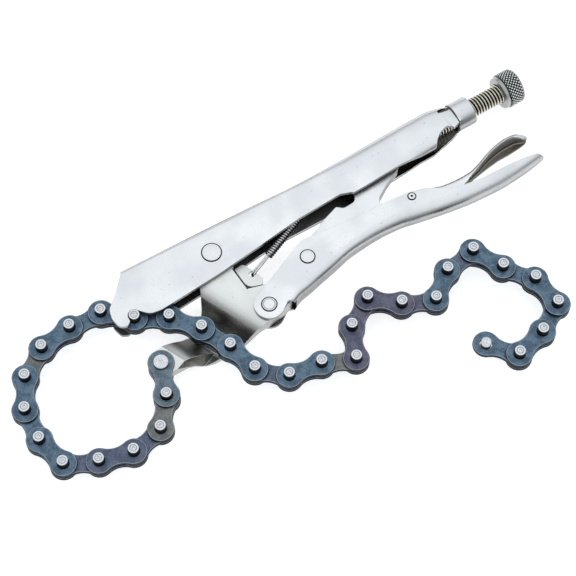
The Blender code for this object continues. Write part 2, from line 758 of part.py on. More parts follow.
def lower_jaw():
    """The lower jaw: a channel around its pivots, a valley under the chain and a tongue at the anchor."""
    outline = rounded(shaped(JAW_OUTLINE_SHARES, JAW_REACH_X, JAW_REACH_Y))
    jaw = prism("lower_jaw", outline, -JAW_HALF_WIDTH, JAW_HALF_WIDTH)
    near, far = jaw_profiles()
    heading = math.radians(VALLEY_HEADING)
    normal = Vector((-math.sin(heading), math.cos(heading), 0))
    centre = Vector((VALLEY_CENTRE_X, VALLEY_CENTRE_Y, 0))
    body = bmesh.new()
    body.from_mesh(jaw.data)
    for distance, _ in near:
        everything = list(body.verts) + list(body.edges) + list(body.faces)
        bmesh.ops.bisect_plane(body, geom=everything, plane_co=centre + normal * distance, plane_no=normal)
    for vert in body.verts:
        distance = (vert.co - centre).dot(normal)
        vert.co.z = valley_height(distance, near if vert.co.z > 0 else far)
    body.to_mesh(jaw.data)
    body.free()
    combine(jaw, jaw_lip_cutter(), "DIFFERENCE")
    combine(jaw, jaw_slot(), "DIFFERENCE")
    combine(jaw, spring_tab(), "UNION")
    tab_hole = (TAB_HOLE_X, TAB_HOLE_Y, TAB_HOLE_RADIUS, -JAW_HALF_WIDTH, TAB_TOP + OVERRUN, HOLE_STEPS)
    combine(jaw, disc("tab_hole", *tab_hole), "DIFFERENCE")
    for spot, radius in (((0, 0), MAIN_HEAD_RADIUS), ((LEVER_PIVOT_X, LEVER_PIVOT_Y), LEVER_HEAD_RADIUS)):
        shank = radius * RIVET_SHANK_SHARE + GAP
        combine(jaw, disc("jaw_pivot_hole", *spot, shank, -OVERRUN * 2, OVERRUN * 2), "DIFFERENCE")
    anchor = disc("anchor_hole", ANCHOR_X, ANCHOR_Y, ANCHOR_SHANK_RADIUS + GAP, -OVERRUN * 2, OVERRUN * 2)
    return combine(jaw, anchor, "DIFFERENCE")


def jaw_lip_cutter():
    """A block whose one face is the slope of the jaw's lip."""
    normal = Vector(LIP_NORMAL).normalized()
    half = LIP_REACH / 2
    cutter = box("lip_cutter", (-half, -half, 0), (half, half, LIP_REACH))
    turn = normal.to_track_quat("Z", "Y").to_matrix().to_4x4()
    cutter.data.transform(Matrix.Translation((LIP_X, LIP_Y, LIP_Z)) @ turn)
    return cutter


def jaw_slot():
    """The hollow between the jaw's flanges, open toward the chain's loop."""
    half = JAW_HALF_WIDTH - JAW_FLANGE
    outline = rounded(shaped(JAW_SLOT_SHARES, JAW_REACH_X, JAW_REACH_Y))
    return prism("jaw_slot", outline, -half, half)


def spring_tab():
    """The jaw's tab for the spring, joined to the near flange by a riser."""
    outline = rounded(shaped(TAB_SHARES, JAW_REACH_X, JAW_REACH_Y))
    tab = prism("spring_tab", outline, TAB_TOP - TAB_THICKNESS, TAB_TOP)
    low = (TAB_SHARES[0][0] * JAW_REACH_X, TAB_SHARES[4][1] * JAW_REACH_Y, TAB_TOP - TAB_THICKNESS / 2)
    high = (TAB_SHARES[4][0] * JAW_REACH_X, TAB_SHARES[0][1] * JAW_REACH_Y, JAW_HALF_WIDTH - JAW_FLANGE / 2)
    return combine(tab, box("tab_riser", low, high), "UNION")


def lever_outline():
    """The lever's side: a round end about its pivot, then its upper edge, tip and underside."""
    pivot = (LEVER_PIVOT_X, LEVER_PIVOT_Y)
    corners = shaped(LEVER_OUTLINE_SHARES, LEVER_LENGTH, LEVER_DEPTH, pivot)
    first = Vector(corners[0][:2]) - Vector(pivot)
    tangent = math.atan2(first.y, first.x) + math.acos(LEVER_END_RADIUS / first.length)
    last = Vector(corners[-1][:2]) - Vector(pivot)
    leave = math.atan2(last.y, last.x) - math.acos(LEVER_END_RADIUS / last.length)
    end = arc(pivot, LEVER_END_RADIUS, leave + 2 * math.pi, tangent, 3 * ARC_STEPS)
    return end + rounded(corners + [(*end[0], 0), (*end[-1], 0)])[:-2]


def lever():
    """The lower handle, forked about the jaw and folded along its underside."""
    mouth = LEVER_PIVOT_Y + 2 * LEVER_DEPTH
    sections = []
    for x, y, w, r in LEVER_STATION_SHARES:
        place_x, spine = LEVER_PIVOT_X + x * LEVER_LENGTH, LEVER_PIVOT_Y + y * LEVER_DEPTH
        half, radius = w * LEVER_HALF_WIDTH, r * LEVER_HALF_WIDTH
        sections.append(channel_section(place_x, spine, half, radius, LEVER_WALL, mouth))
    handle = channel("lever", lever_outline(), sections)
    inner = LEVER_HALF_WIDTH - LEVER_WALL
    low = (LEVER_PIVOT_X - LEVER_LENGTH, LEVER_PIVOT_Y - LEVER_DEPTH, -inner)
    fork = box("fork_opening", low, (LEVER_SPINE_START_X, LEVER_PIVOT_Y + LEVER_DEPTH, inner))
    combine(handle, fork, "DIFFERENCE")
    rivet_hole(handle, (LEVER_PIVOT_X, LEVER_PIVOT_Y), LEVER_HEAD_RADIUS, LEVER_HALF_WIDTH)
    rivet_hole(handle, (LINK_PIVOT_X, LINK_PIVOT_Y), LINK_HEAD_RADIUS, LEVER_HALF_WIDTH)
    rivet_hole(handle, (RELEASE_PIVOT_X, RELEASE_PIVOT_Y), RELEASE_HEAD_RADIUS, LEVER_HALF_WIDTH)
    return handle


def toggle_link():
    """The toggle link: two cheeks joined along their lower edge, and a rounded nose at the screw."""
    pivot = (LINK_PIVOT_X, LINK_PIVOT_Y)
    heading = math.atan2(LINK_NOSE_Y - pivot[1], LINK_NOSE_X - pivot[0])
    points = rounded(shaped(LINK_OUTLINE_SHARES, LINK_LENGTH, LINK_DEPTH, pivot))
    start, stop = heading + math.pi * LINK_END_START, heading + math.pi * LINK_END_STOP
    end = arc(pivot, LINK_END_RADIUS, start, stop, 2 * ARC_STEPS)
    half = LINK_HALF_WIDTH
    link = prism("toggle_link", end + points, -half, half)
    combine(link, disc("nose", LINK_NOSE_X, LINK_NOSE_Y, LINK_NOSE_RADIUS, -half, half), "UNION")
    hollow = rounded(shaped(LINK_HOLLOW_SHARES, LINK_LENGTH, LINK_DEPTH, pivot))
    combine(link, prism("link_hollow", hollow, LINK_WALL - half, half - LINK_WALL), "DIFFERENCE")
    shank = LINK_HEAD_RADIUS * RIVET_SHANK_SHARE + GAP
    return combine(link, disc("link_hole", *pivot, shank, -OVERRUN, OVERRUN, RIVET_STEPS), "DIFFERENCE")


def screw():
    """The adjusting screw: tip, shank and thread as one grid about its axis."""
    step = THREAD_PITCH / THREAD_ROWS_PER_TURN
    core = SCREW_RADIUS - THREAD_DEPTH
    shank_x = SCREW_TIP_X + TIP_CHAMFER
    rows = [(SCREW_TIP_X, [core - TIP_CHAMFER] * THREAD_COLUMNS)]
    rows += [(x, [core] * THREAD_COLUMNS) for x in (shank_x, THREAD_START_X - step)]
    angles = [2 * math.pi * column / THREAD_COLUMNS for column in range(THREAD_COLUMNS)]
    for index in range(int((KNOB_FLANGE_X - THREAD_START_X) / step) + 1):
        x = THREAD_START_X + index * step
        rows.append((x, [thread_radius(x, a) for a in angles]))
    rows.append((KNOB_FLANGE_X + step, [core] * THREAD_COLUMNS))
    rows.append((SCREW_END_X, [core] * THREAD_COLUMNS))
    body = bmesh.new()
    rings = []
    for x, radii in rows:
        spots = [(r * math.cos(a), r * math.sin(a)) for r, a in zip(radii, angles)]
        rings.append([body.verts.new((x, SCREW_AXIS_Y + y, z)) for y, z in spots])
    for before, after in zip(rings, rings[1:]):
        for index in range(THREAD_COLUMNS):
            following = (index + 1) % THREAD_COLUMNS
            body.faces.new((before[index], before[following], after[following], after[index]))
    body.faces.new(rings[0])
    body.faces.new(rings[-1])
    return add_object("adjusting_screw", body)


def thread_radius(x, angle):
    """The thread's radius at a place along it and around it."""
    phase = (x / THREAD_PITCH - angle / (2 * math.pi)) % 1
    return SCREW_RADIUS - THREAD_DEPTH * abs(2 * phase - 1)


def knob():
    """The screw's round knob: a plain flange, a wider grip, and a blind bore for the screw's end."""
    flange_end = KNOB_FLANGE_X + KNOB_FLANGE
    end = flange_end + KNOB_LENGTH
    bore = SCREW_RADIUS + GAP
    profile = (
        (0, SCREW_END_X + GAP),
        (bore, SCREW_END_X + GAP),
        (bore, KNOB_FLANGE_X),
        (KNOB_FLANGE_RADIUS, KNOB_FLANGE_X),
        (KNOB_FLANGE_RADIUS, flange_end),
        (KNOB_RADIUS, flange_end + KNOB_CHAMFER / 2),
        (KNOB_RADIUS, end - KNOB_CHAMFER),
        (KNOB_RADIUS - KNOB_CHAMFER, end),
        (0, end),
    )
    made = turned("screw_knob", profile, KNOB_STEPS)
    made.data.transform(screw_axis_matrix())
    return made


def release_lever():
    """The release lever: a folded leaf on its pin inside the lever."""
    pivot = (RELEASE_PIVOT_X, RELEASE_PIVOT_Y)
    outline = rounded(shaped(RELEASE_OUTLINE_SHARES, RELEASE_LENGTH, RELEASE_DEPTH, pivot))
    spread = RELEASE_LEAF_HALF_WIDTH - RELEASE_HALF_WIDTH
    mouth = pivot[1] - 2 * RELEASE_DEPTH
    sections = []
    for x, y, w, r in RELEASE_STATION_SHARES:
        place_x, spine = pivot[0] + x * RELEASE_LENGTH, pivot[1] + y * RELEASE_DEPTH
        half = RELEASE_HALF_WIDTH + w * spread
        sections.append(channel_section(place_x, spine, half, r * half, RELEASE_WALL, mouth))
    leaf = channel("release_lever", outline, sections)
    radius = RELEASE_HEAD_RADIUS * RIVET_SHANK_SHARE + GAP
    hole = disc("release_hole", *pivot, radius, -OVERRUN * 2, OVERRUN * 2, HOLE_STEPS)
    return combine(leaf, hole, "DIFFERENCE")


def spring_points():
    """The spring's route: a hook in the jaw's tab, a straight lead, its coils and a straight end."""
    start = Vector((TAB_HOLE_X, TAB_HOLE_Y, 0))
    end = Vector((SPRING_TAB_X - GAP, SPRING_TAB_Y, 0))
    along = (end - start).normalized()
    side = along.cross(Vector((0, 0, 1)))
    up = Vector((0, 0, 1))
    points = [start - up * SPRING_HOOK_DROP / 2, start + up * SPRING_RADIUS / 2]
    points.append(start + up * SPRING_RADIUS + along * SPRING_RADIUS / 2)
    count = SPRING_TURNS * SPRING_POINTS_PER_TURN
    for index in range(count + 1):
        angle = 2 * math.pi * index / SPRING_POINTS_PER_TURN
        distance = SPRING_LEAD + SPRING_TURN_PITCH * index / SPRING_POINTS_PER_TURN
        around = up * math.cos(angle) + side * math.sin(angle)
        points.append(start + along * distance + SPRING_RADIUS * around)
    coil_end = SPRING_LEAD + SPRING_TURNS * SPRING_TURN_PITCH
    length = (end - start).length
    points.append(start + along * (coil_end + SPRING_RADIUS) + up * SPRING_RADIUS / 2)
    points.append(start + along * (coil_end + 2 * SPRING_RADIUS))
    points.append(start + along * length)
    return points


def least_gap(points):
    """The least clear distance between turns of the spring's wire, measured on its points."""
    skip = SPRING_POINTS_PER_TURN // 2
    least = math.inf
    for index, point in enumerate(points):
        for other in points[index + skip : index + 3 * skip]:
            least = min(least, (point - other).length)
    return least - 2 * SPRING_WIRE_RADIUS


def return_spring():
    """The spring as one unbroken tube along its route."""
    points = spring_points()
    print(f"return_spring: {SPRING_TURNS} turns, least gap to itself {least_gap(points) * 1000:.2f} mm")
    curve = bpy.data.curves.new("return_spring", "CURVE")
    curve.dimensions = "3D"
    curve.bevel_depth = SPRING_WIRE_RADIUS
    curve.bevel_resolution = 1
    curve.use_fill_caps = True
    spline = curve.splines.new("POLY")
    spline.points.add(len(points) - 1)
    for point, spot in zip(spline.points, points):
        point.co = (*spot, 1)
    made = bpy.data.objects.new("return_spring", curve)
    bpy.context.scene.collection.objects.link(made)
    return made


def anchor_plate(name, low, high):
    """One of the first link's two plates, with a hole for the anchor rivet and one for a pin."""
    plate = prism(name, plate_outline(), low, high)
    for x, radius in ((0, ANCHOR_SHANK_RADIUS), (CHAIN_PITCH, CHAIN_PIN_RADIUS)):
        hole = disc("plate_hole", x, 0, radius + GAP, low - OVERRUN, high + OVERRUN, HOLE_STEPS)
        combine(plate, hole, "DIFFERENCE")
    return plate


def build_chain(frame, nickel, steel):
    """The anchor link and every further link, each hung on the one before it."""
    rivet_top = ANCHOR_PLATE_HIGH + GAP + ANCHOR_HEAD
    rivet_under = rivet_top - ANCHOR_HEAD
    profile = ((0, -rivet_top), (ANCHOR_HEAD_RADIUS, -rivet_top), (ANCHOR_HEAD_RADIUS, -rivet_under))
    profile += ((ANCHOR_SHANK_RADIUS, -rivet_under), (ANCHOR_SHANK_RADIUS, rivet_under))
    profile += ((ANCHOR_HEAD_RADIUS, rivet_under), (ANCHOR_HEAD_RADIUS, rivet_top), (0, rivet_top))
    heading = math.radians(LINK_HEADINGS[0])
    first = place(anchor_plate("anchor_plate_near", ANCHOR_PLATE_LOW, ANCHOR_PLATE_HIGH), steel, frame)
    first.location = (ANCHOR_X, ANCHOR_Y, 0)
    first.rotation_euler = (0, 0, heading)
    place(anchor_plate("anchor_plate_far", -ANCHOR_PLATE_HIGH, -ANCHOR_PLATE_LOW), steel, first)
    place(turned("anchor_rivet", profile, RIVET_STEPS), nickel, first)
    outer, inner = outer_link_mesh(), inner_link_mesh()
    for mesh in (outer, inner):
        mesh.materials.clear()
        mesh.materials.append(steel)
        mesh.shade_smooth()
        mesh.set_sharp_from_angle(angle=math.radians(30))
    before = first
    for number in range(2, LINK_COUNT + 1):
        kind, mesh = ("outer", outer) if number % 2 == 0 else ("inner", inner)
        link = bpy.data.objects.new(f"{kind}_link_{number:02d}", mesh)
        bpy.context.scene.collection.objects.link(link)
        link.parent = before
        link.location = (CHAIN_PITCH, 0, 0)
        link.rotation_euler = (0, 0, math.radians(LINK_HEADINGS[number - 1] - LINK_HEADINGS[number - 2]))
        before = link
    half = STACK_HALF
    profile = ((0, -half), (CHAIN_PIN_RADIUS, -half), (CHAIN_PIN_RADIUS, half), (0, half))
    end = place(turned("chain_end_rivet", profile, CHAIN_PIN_STEPS), nickel, before)
    end.location = (CHAIN_PITCH, 0, 0)


def main():
    """Builds every piece in the handle's frame, whose origin is the main pivot at the mid-plane."""
    clear_scene()
    nickel = finish("nickel_plate", (0.72, 0.73, 0.76), 0.28, 0.9)
    bright = finish("bright_rivet", (0.62, 0.63, 0.66), 0.25, 1.0)
    blued = finish("blued_steel", (0.10, 0.15, 0.22), 0.38, 0.8)
    zinc = finish("yellow_zinc", (0.55, 0.52, 0.44), 0.35, 0.9)
    frame = bpy.data.objects.new("clamp_frame", None)
    frame.location = (-REST_CENTRE_X, -REST_CENTRE_Y, MID_HEIGHT)
    bpy.context.scene.collection.objects.link(frame)
    pins = chain_pins()
    main_pivot = (0, 0)
    lever_pivot = (LEVER_PIVOT_X, LEVER_PIVOT_Y)
    link_pivot = (LINK_PIVOT_X, LINK_PIVOT_Y)
    release_pivot = (RELEASE_PIVOT_X, RELEASE_PIVOT_Y)
    place(upper_handle(pins), nickel, frame)
    place(lower_jaw(), nickel, frame, main_pivot)
    place(lever(), nickel, frame, lever_pivot)
    place(toggle_link(), nickel, frame, link_pivot)
    place(release_lever(), nickel, frame, release_pivot)
    place(screw(), zinc, frame, (0, SCREW_AXIS_Y))
    place(knob(), nickel, frame, (KNOB_FLANGE_X, SCREW_AXIS_Y))
    for name, spot, radius, face, dimple in (
        ("main_rivet", main_pivot, MAIN_HEAD_RADIUS, HANDLE_HALF_WIDTH, False),
        ("lever_rivet", lever_pivot, LEVER_HEAD_RADIUS, LEVER_HALF_WIDTH, False),
        ("link_rivet", link_pivot, LINK_HEAD_RADIUS, LEVER_HALF_WIDTH, False),
        ("release_pin", release_pivot, RELEASE_HEAD_RADIUS, LEVER_HALF_WIDTH, True),
    ):
        made = place(rivet(name, radius, face, dimple), bright, frame)
        made.location = (*spot, 0)
    spring = return_spring()
    spring.parent = frame
    spring.data.materials.append(zinc)
    build_chain(frame, bright, blued)


main()
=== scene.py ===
"""Dresses a locking chain clamp: nickel-plated handles and jaw, a blued leaf chain, and a plain pale studio."""

import logging
import math
from dataclasses import dataclass, field
from enum import Enum
from typing import Any, Callable, Iterable, Sequence

import bmesh
import bpy
from mathutils import Matrix, Vector

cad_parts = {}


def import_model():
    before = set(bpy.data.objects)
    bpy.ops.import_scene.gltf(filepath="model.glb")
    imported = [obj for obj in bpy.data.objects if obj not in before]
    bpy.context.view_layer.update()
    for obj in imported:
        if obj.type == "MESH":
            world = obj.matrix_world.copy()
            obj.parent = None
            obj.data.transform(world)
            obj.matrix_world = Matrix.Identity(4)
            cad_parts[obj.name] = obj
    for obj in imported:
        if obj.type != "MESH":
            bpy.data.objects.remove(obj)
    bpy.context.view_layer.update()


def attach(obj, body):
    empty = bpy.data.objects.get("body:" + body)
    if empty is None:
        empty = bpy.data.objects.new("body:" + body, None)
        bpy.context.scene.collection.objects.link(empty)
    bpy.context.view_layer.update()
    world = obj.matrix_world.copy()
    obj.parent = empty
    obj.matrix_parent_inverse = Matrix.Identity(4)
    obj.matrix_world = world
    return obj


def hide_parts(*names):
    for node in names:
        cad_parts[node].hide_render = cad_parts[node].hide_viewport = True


LOG = logging.getLogger("chain_clamp")
MM = 0.001
TURN = 2 * math.pi
# The face attribute of marks: above 0 a painted highlight, on edges also rubbing; below 0 painted shade in
# hollows; on threads and knurls the crests' height.
EDGE = "edge_light_and_wear"
EDGE_BEND = 38.0
EDGE_SMOOTH = 18.0
ROUND_SMOOTH = 30.0
THROUGH = 10 * MM
MARGIN = 2 * MM
RUNNING_FIT = 0.3 * MM
LEAST_EASE = 0.05 * MM
WELD = 0.01 * MM
FLAT_WITHIN = 0.5

Point = tuple[float, float]
Corner = tuple[float, float, float]
Row = tuple[float, ...]
Colour = tuple[float, float, float]
Thing = bpy.types.Object
Material = bpy.types.Material
LightAndWearMark = Callable[[int, int, bmesh.types.BMFace], float]


def operator(operation: str, swapped: bool = False) -> Callable[["Value", Any], "Value"]:
    """An operator that adds one Math node, with its two sides swapped or not."""

    def method(self: "Value", other: Any) -> "Value":
        """The result, as a socket."""
        left, right = (other, self) if swapped else (self, other)
        return self.canvas.node("ShaderNodeMath", {"operation": operation}, {0: left, 1: right})

    return method


class Value:
    """A shader socket that takes part in arithmetic."""

    __add__, __radd__ = operator("ADD"), operator("ADD", True)
    __sub__, __rsub__ = operator("SUBTRACT"), operator("SUBTRACT", True)
    __mul__, __rmul__ = operator("MULTIPLY"), operator("MULTIPLY", True)

    def __init__(self, canvas: "Canvas", socket: bpy.types.NodeSocket) -> None:
        """Keeps the canvas that new nodes go on, and the socket."""
        self.canvas = canvas
        self.socket = socket

    def over(self, low: float, high: float) -> "Value":
        """How far this lies between two levels, from 0 to 1."""
        settings = {"interpolation_type": "SMOOTHSTEP", "clamp": True}
        sockets = {"Value": self, "From Min": low, "From Max": high}
        return self.canvas.node("ShaderNodeMapRange", settings, sockets)


class Canvas:
    """One material's node tree, with the few calls that its finish needs."""

    def __init__(self, name: str) -> None:
        """Starts a material with a Principled shader."""
        self.material = bpy.data.materials.new(name)
        self.material.use_nodes = True
        self.tree = self.material.node_tree
        self.shader = self.tree.nodes["Principled BSDF"]

    @staticmethod
    def _socket(sockets: Any, key: Any) -> bpy.types.NodeSocket:
        """Finds a socket by place, identifier or name."""
        if isinstance(key, int):
            return sockets[key]
        return next((socket for socket in sockets if socket.identifier == key), None) or sockets[key]

    def set(self, node: bpy.types.Node, key: Any, value: Any) -> None:
        """Gives a node's input a constant or a link."""
        target = self._socket(node.inputs, key)
        if isinstance(value, Value):
            self.tree.links.new(value.socket, target)
        else:
            target.default_value = value

    def node(self, kind: str, settings: dict[str, Any], sockets: dict[Any, Any], output: Any = 0) -> Value:
        """Adds a node.

        Args:
            kind: The node's type.
            settings: Its settings, set before its sockets. A ramp's stops are given as "stops".
            sockets: Constants or links for its inputs.
            output: Which output to return.

        Returns:
            The output, ready for arithmetic.
        """
        made = self.tree.nodes.new(kind)
        for key, value in settings.items():
            if key == "stops":
                self._stops(made.color_ramp, value)
            else:
                setattr(made, key, value)
        for key, value in sockets.items():
            self.set(made, key, value)
        return Value(self, self._socket(made.outputs, output))

    @staticmethod
    def _stops(ramp: bpy.types.ColorRamp, stops: Sequence[Point]) -> None:
        """Writes a ramp's stops, given as places and shades of grey."""
        while len(ramp.elements) < len(stops):
            ramp.elements.new(1.0)
        for element, (place, shade) in zip(ramp.elements, stops):
            element.position = place
            element.color = (shade, shade, shade, 1.0)

    def noise(self, grain: float, detail: float = 2.0) -> Value:
        """Noise over the piece at rest.

        Args:
            grain: The blotches' size, in metres.
            detail: How many finer layers it has.

        Returns:
            The noise's level.
        """
        place = self.node("ShaderNodeTexCoord", {}, {}, "Object")
        scale = (1 / grain, 1 / grain, 1 / grain)
        where = self.node("ShaderNodeVectorMath", {"operation": "MULTIPLY"}, {0: place, 1: scale})
        return self.node("ShaderNodeTexNoise", {}, {"Vector": where, "Scale": 1.0, "Detail": detail})

    def mix(self, low: Value | Colour, high: Value | Colour, share: Value) -> Value:
        """A colour between two others."""
        low, high = (end if isinstance(end, Value) else (*end, 1.0) for end in (low, high))
        sockets = {"Factor_Float": share, "A_Color": low, "B_Color": high}
        return self.node("ShaderNodeMix", {"data_type": "RGBA"}, sockets, "Result_Color")

    def edge(self) -> Value:
        """The marks that the meshes carry, from 1 for a painted highlight on a rubbed edge or a crest to -1 for
        painted shade in a hollow.
        """
        return self.node("ShaderNodeAttribute", {"attribute_name": EDGE}, {}, "Fac")

    def painted_light_and_wear(self) -> Value:
        """How far the point is bright: rubbed, with a painted highlight."""
        return self.edge().over(0.0, 1.0)

    def painted_shade(self) -> Value:
        """How far the point lies in a hollow that gets painted shade."""
        return (0 - self.edge()).over(0.0, 1.0)

    def upright(self) -> Value:
        """How far the surface is from lying flat: 0 on a face, 1 on its side."""
        normal = self.node("ShaderNodeTexCoord", {}, {}, "Normal")
        height = self.node("ShaderNodeSeparateXYZ", {}, {0: normal}, "Z")
        return 1 - self.node("ShaderNodeMath", {"operation": "ABSOLUTE"}, {0: height})

    def levels(self, level: Value, stops: Sequence[Point]) -> Value:
        """Another level for each level, read off a ramp."""
        return self.node("ShaderNodeValToRGB", {"stops": stops}, {0: level})

    def bump(self, height: Value, depth: float) -> None:
        """Roughens the surface by a height."""
        normal = self.node("ShaderNodeBump", {}, {"Height": height, "Distance": depth, "Strength": 1.0})
        self.set(self.shader, "Normal", normal)

    def finish(self, **sockets: Any) -> Material:
        """Sets the Principled shader's sockets, named with underscores, and returns the material."""
        for key, value in sockets.items():
            self.set(self.shader, key.replace("_", " ").title(), value)
        return self.material


@dataclass(frozen=True)
class NickelPlate:
    """Satin nickel over pressed sheet: pale faces, painted shade on folds, sides and hollows, a painted
    highlight on eased edges, soft clouds and fine grain.
    """

    name: str = "nickel_plate"
    pale: Colour = (0.88, 0.89, 0.90)
    dull: Colour = (0.74, 0.755, 0.77)
    pit: Colour = (0.25, 0.25, 0.25)
    # side is painted shade on sides and folds, hollow is painted shade in hollows, rim is a painted highlight on
    # eased edges.
    side: Colour = (0.17, 0.17, 0.165)
    hollow: Colour = (0.060, 0.054, 0.042)
    rim: Colour = (0.88, 0.89, 0.90)
    smooth: float = 0.24
    rough: float = 0.38
    cloud: float = 0.018
    grain: float = 0.0007
    pits: float = 0.0012
    relief: float = 0.00002
    pit_level: float = 0.80
    # How much painted shade a surface gets, by how far it stands upright.
    folds: tuple[Point, ...] = (
        (0, 0), (0.05, 0.02), (0.16, 0.14), (0.3, 0.42), (0.48, 0.56), (0.75, 0.48), (1, 0.85),
    )  # fmt: skip

    def make(self) -> Material:
        """Builds the material."""
        canvas = Canvas(self.name)
        clouds = canvas.noise(self.cloud, 3.0).over(0.35, 0.65)
        grain = canvas.noise(self.grain)
        specks = canvas.noise(self.pits, 0.0).over(self.pit_level, self.pit_level + 0.06)
        colour = canvas.mix(self.pale, self.dull, clouds * 0.5 + grain * 0.35)
        colour = canvas.mix(colour, self.pit, specks * 0.35)
        # Painted shade on sides and folds, less on edges marked bright; then painted shade in hollows and a
        # painted highlight on rubbed edges.
        folds = canvas.levels(canvas.upright(), self.folds) * (0.80 + grain * 0.40) * (1 - canvas.painted_light_and_wear() * 0.8)
        colour = canvas.mix(colour, self.side, folds)
        colour = canvas.mix(colour, self.hollow, canvas.painted_shade() * (0.75 + grain * 0.4))
        colour = canvas.mix(colour, self.rim, canvas.painted_light_and_wear() * 0.55)
        roughness = self.smooth + (self.rough - self.smooth) * (clouds * 0.6 + grain * 0.4)
        canvas.bump(grain - specks, self.relief)
        return canvas.finish(base_color=colour, roughness=roughness, metallic=1.0)


class LinkTint(Enum):
    """The heat colours that the chain's plates show, as main and second colours."""

    BLUE = ((0.150, 0.226, 0.305), (0.062, 0.104, 0.150))
    TEAL = ((0.180, 0.240, 0.285), (0.095, 0.135, 0.165))
    VIOLET = ((0.150, 0.172, 0.240), (0.072, 0.098, 0.150))
    BROWN = ((0.165, 0.158, 0.205), (0.080, 0.092, 0.150))
    STONE = ((0.240, 0.240, 0.225), (0.115, 0.135, 0.145))


@dataclass(frozen=True)
class BluedSteel:
    """Heat-blued plate with mottled tints, rims rubbed to bare steel with a painted highlight, and painted shade
    on its sides and in its hollows.
    """

    tint: LinkTint
    # bright is rubbed steel with a painted highlight on rims, and fine specks; side is painted shade on sides
    # and in hollows.
    bright: Colour = (0.62, 0.69, 0.74)
    side: Colour = (0.006, 0.009, 0.013)
    roughness: float = 0.40
    spread: float = 0.16
    mottle: float = 0.0035
    grain: float = 0.0006
    relief: float = 0.000012

    def make(self) -> Material:
        """Builds the material."""
        canvas = Canvas(f"blued_steel_{self.tint.name.lower()}")
        mottle = canvas.noise(self.mottle, 3.0)
        grain = canvas.noise(self.grain, 1.0)
        colour = canvas.mix(*self.tint.value, mottle.over(0.38, 0.62) * 0.6 + grain.over(0.4, 0.6) * 0.3)
        colour = canvas.mix(colour, self.bright, (1 - grain.over(0.30, 0.38)) * 0.10)
        # Painted shade on sides and in hollows, then rims rubbed bright with a painted highlight.
        colour = canvas.mix(colour, self.side, canvas.upright().over(0.22, 0.6))
        colour = canvas.mix(colour, self.side, canvas.painted_shade() * 0.9)
        colour = canvas.mix(colour, self.bright, canvas.painted_light_and_wear() * (0.08 + grain * 0.75))
        roughness = self.roughness + self.spread * (grain - 0.5) + 0.06 * mottle
        canvas.bump(grain, self.relief)
        return canvas.finish(base_color=colour, roughness=roughness, metallic=0.85)


@dataclass(frozen=True)
class Metal:
    """A metal whose fine grain shows in its colour and in its gloss."""

    name: str
    roughness: float
    grain: float = 0.0008
    detail: float = 2.0
    spread: float = 0.15
    relief: float = 0.0

    def colour(self, canvas: Canvas, grain: Value) -> Value:
        """The metal's colour."""
        raise NotImplementedError

    def make(self) -> Material:
        """Builds the material."""
        canvas = Canvas(self.name)
        grain = canvas.noise(self.grain, self.detail)
        colour = self.colour(canvas, grain)
        if self.relief:
            canvas.bump(grain, self.relief)
        return canvas.finish(base_color=colour, roughness=self.roughness + self.spread * grain, metallic=1.0)


@dataclass(frozen=True)
class TurnedSteel(Metal):
    """Bright turned steel of pins and rivets, scratched, with a painted highlight on marked rims and painted
    shade on its sides and in its hollows.
    """

    name: str = "turned_steel"
    roughness: float = 0.28
    grain: float = 0.0006
    detail: float = 3.0
    spread: float = 0.2
    relief: float = 0.00002
    bright: Colour = (0.80, 0.82, 0.84)
    dark: Colour = (0.36, 0.38, 0.40)
    # Painted shade on sides and in hollows.
    side: Colour = (0.010, 0.012, 0.015)
    speckle: float = 0.85

    def colour(self, canvas: Canvas, grain: Value) -> Value:
        """Specks on a bright face, a painted highlight on rims, and painted shade on sides and in hollows."""
        colour = canvas.mix(self.bright, self.dark, grain.over(0.46, 0.70) * self.speckle)
        colour = canvas.mix(colour, self.bright, canvas.painted_light_and_wear())
        colour = canvas.mix(colour, self.side, canvas.upright().over(0.30, 0.75) * 0.98)
        return canvas.mix(colour, self.side, canvas.painted_shade())


@dataclass(frozen=True)
class GroovedMetal(Metal):
    """A plated thread or knurl, with a painted highlight on its crests and painted shade in its roots."""

    # crest is a painted highlight, root is painted shade.
    crest: Colour = (0.92, 0.93, 0.92)
    root: Colour = (0.010, 0.012, 0.010)
    bands: Point = (0.30, 0.85)
    gain: Point = (0.8, 0.4)

    def colour(self, canvas: Canvas, grain: Value) -> Value:
        """The colour from painted shade at the root to a painted highlight on the crest."""
        base, more = self.gain
        return canvas.mix(self.root, self.crest, canvas.edge().over(*self.bands) * (base + grain * more))


@dataclass(frozen=True)
class SpringWire(Metal):
    """Drawn wire with streaks of lighter and darker tone, and painted shade on its sides, which darkens it
    between its turns.
    """

    name: str = "spring_wire"
    roughness: float = 0.26
    spread: float = 0.1
    bright: Colour = (0.92, 0.93, 0.94)
    dark: Colour = (0.55, 0.56, 0.58)
    # Painted shade on the wire's sides.
    side: Colour = (0.014, 0.014, 0.012)

    def colour(self, canvas: Canvas, grain: Value) -> Value:
        """Streaks of lighter and darker tone, and painted shade on the sides."""
        colour = canvas.mix(self.dark, self.bright, grain.over(0.30, 0.60))
        return canvas.mix(colour, self.side, canvas.upright().over(0.10, 0.50))


@dataclass(frozen=True)
class PaleFloor:
    """A plain pale sweep."""

    name: str = "pale_floor"
    pale: Colour = (0.80, 0.80, 0.80)
    shade: Colour = (0.78, 0.78, 0.78)
    white: Row = (1.0, 1.0, 1.0, 1.0)
    roughness: float = 0.9
    grain: float = 0.004
    glow: float = 0.62

    def make(self) -> Material:
        """Builds the material."""
        canvas = Canvas(self.name)
        colour = canvas.mix(self.pale, self.shade, canvas.noise(self.grain))
        glow = {"emission_color": self.white, "emission_strength": self.glow}
        return canvas.finish(base_color=colour, roughness=self.roughness, **glow)


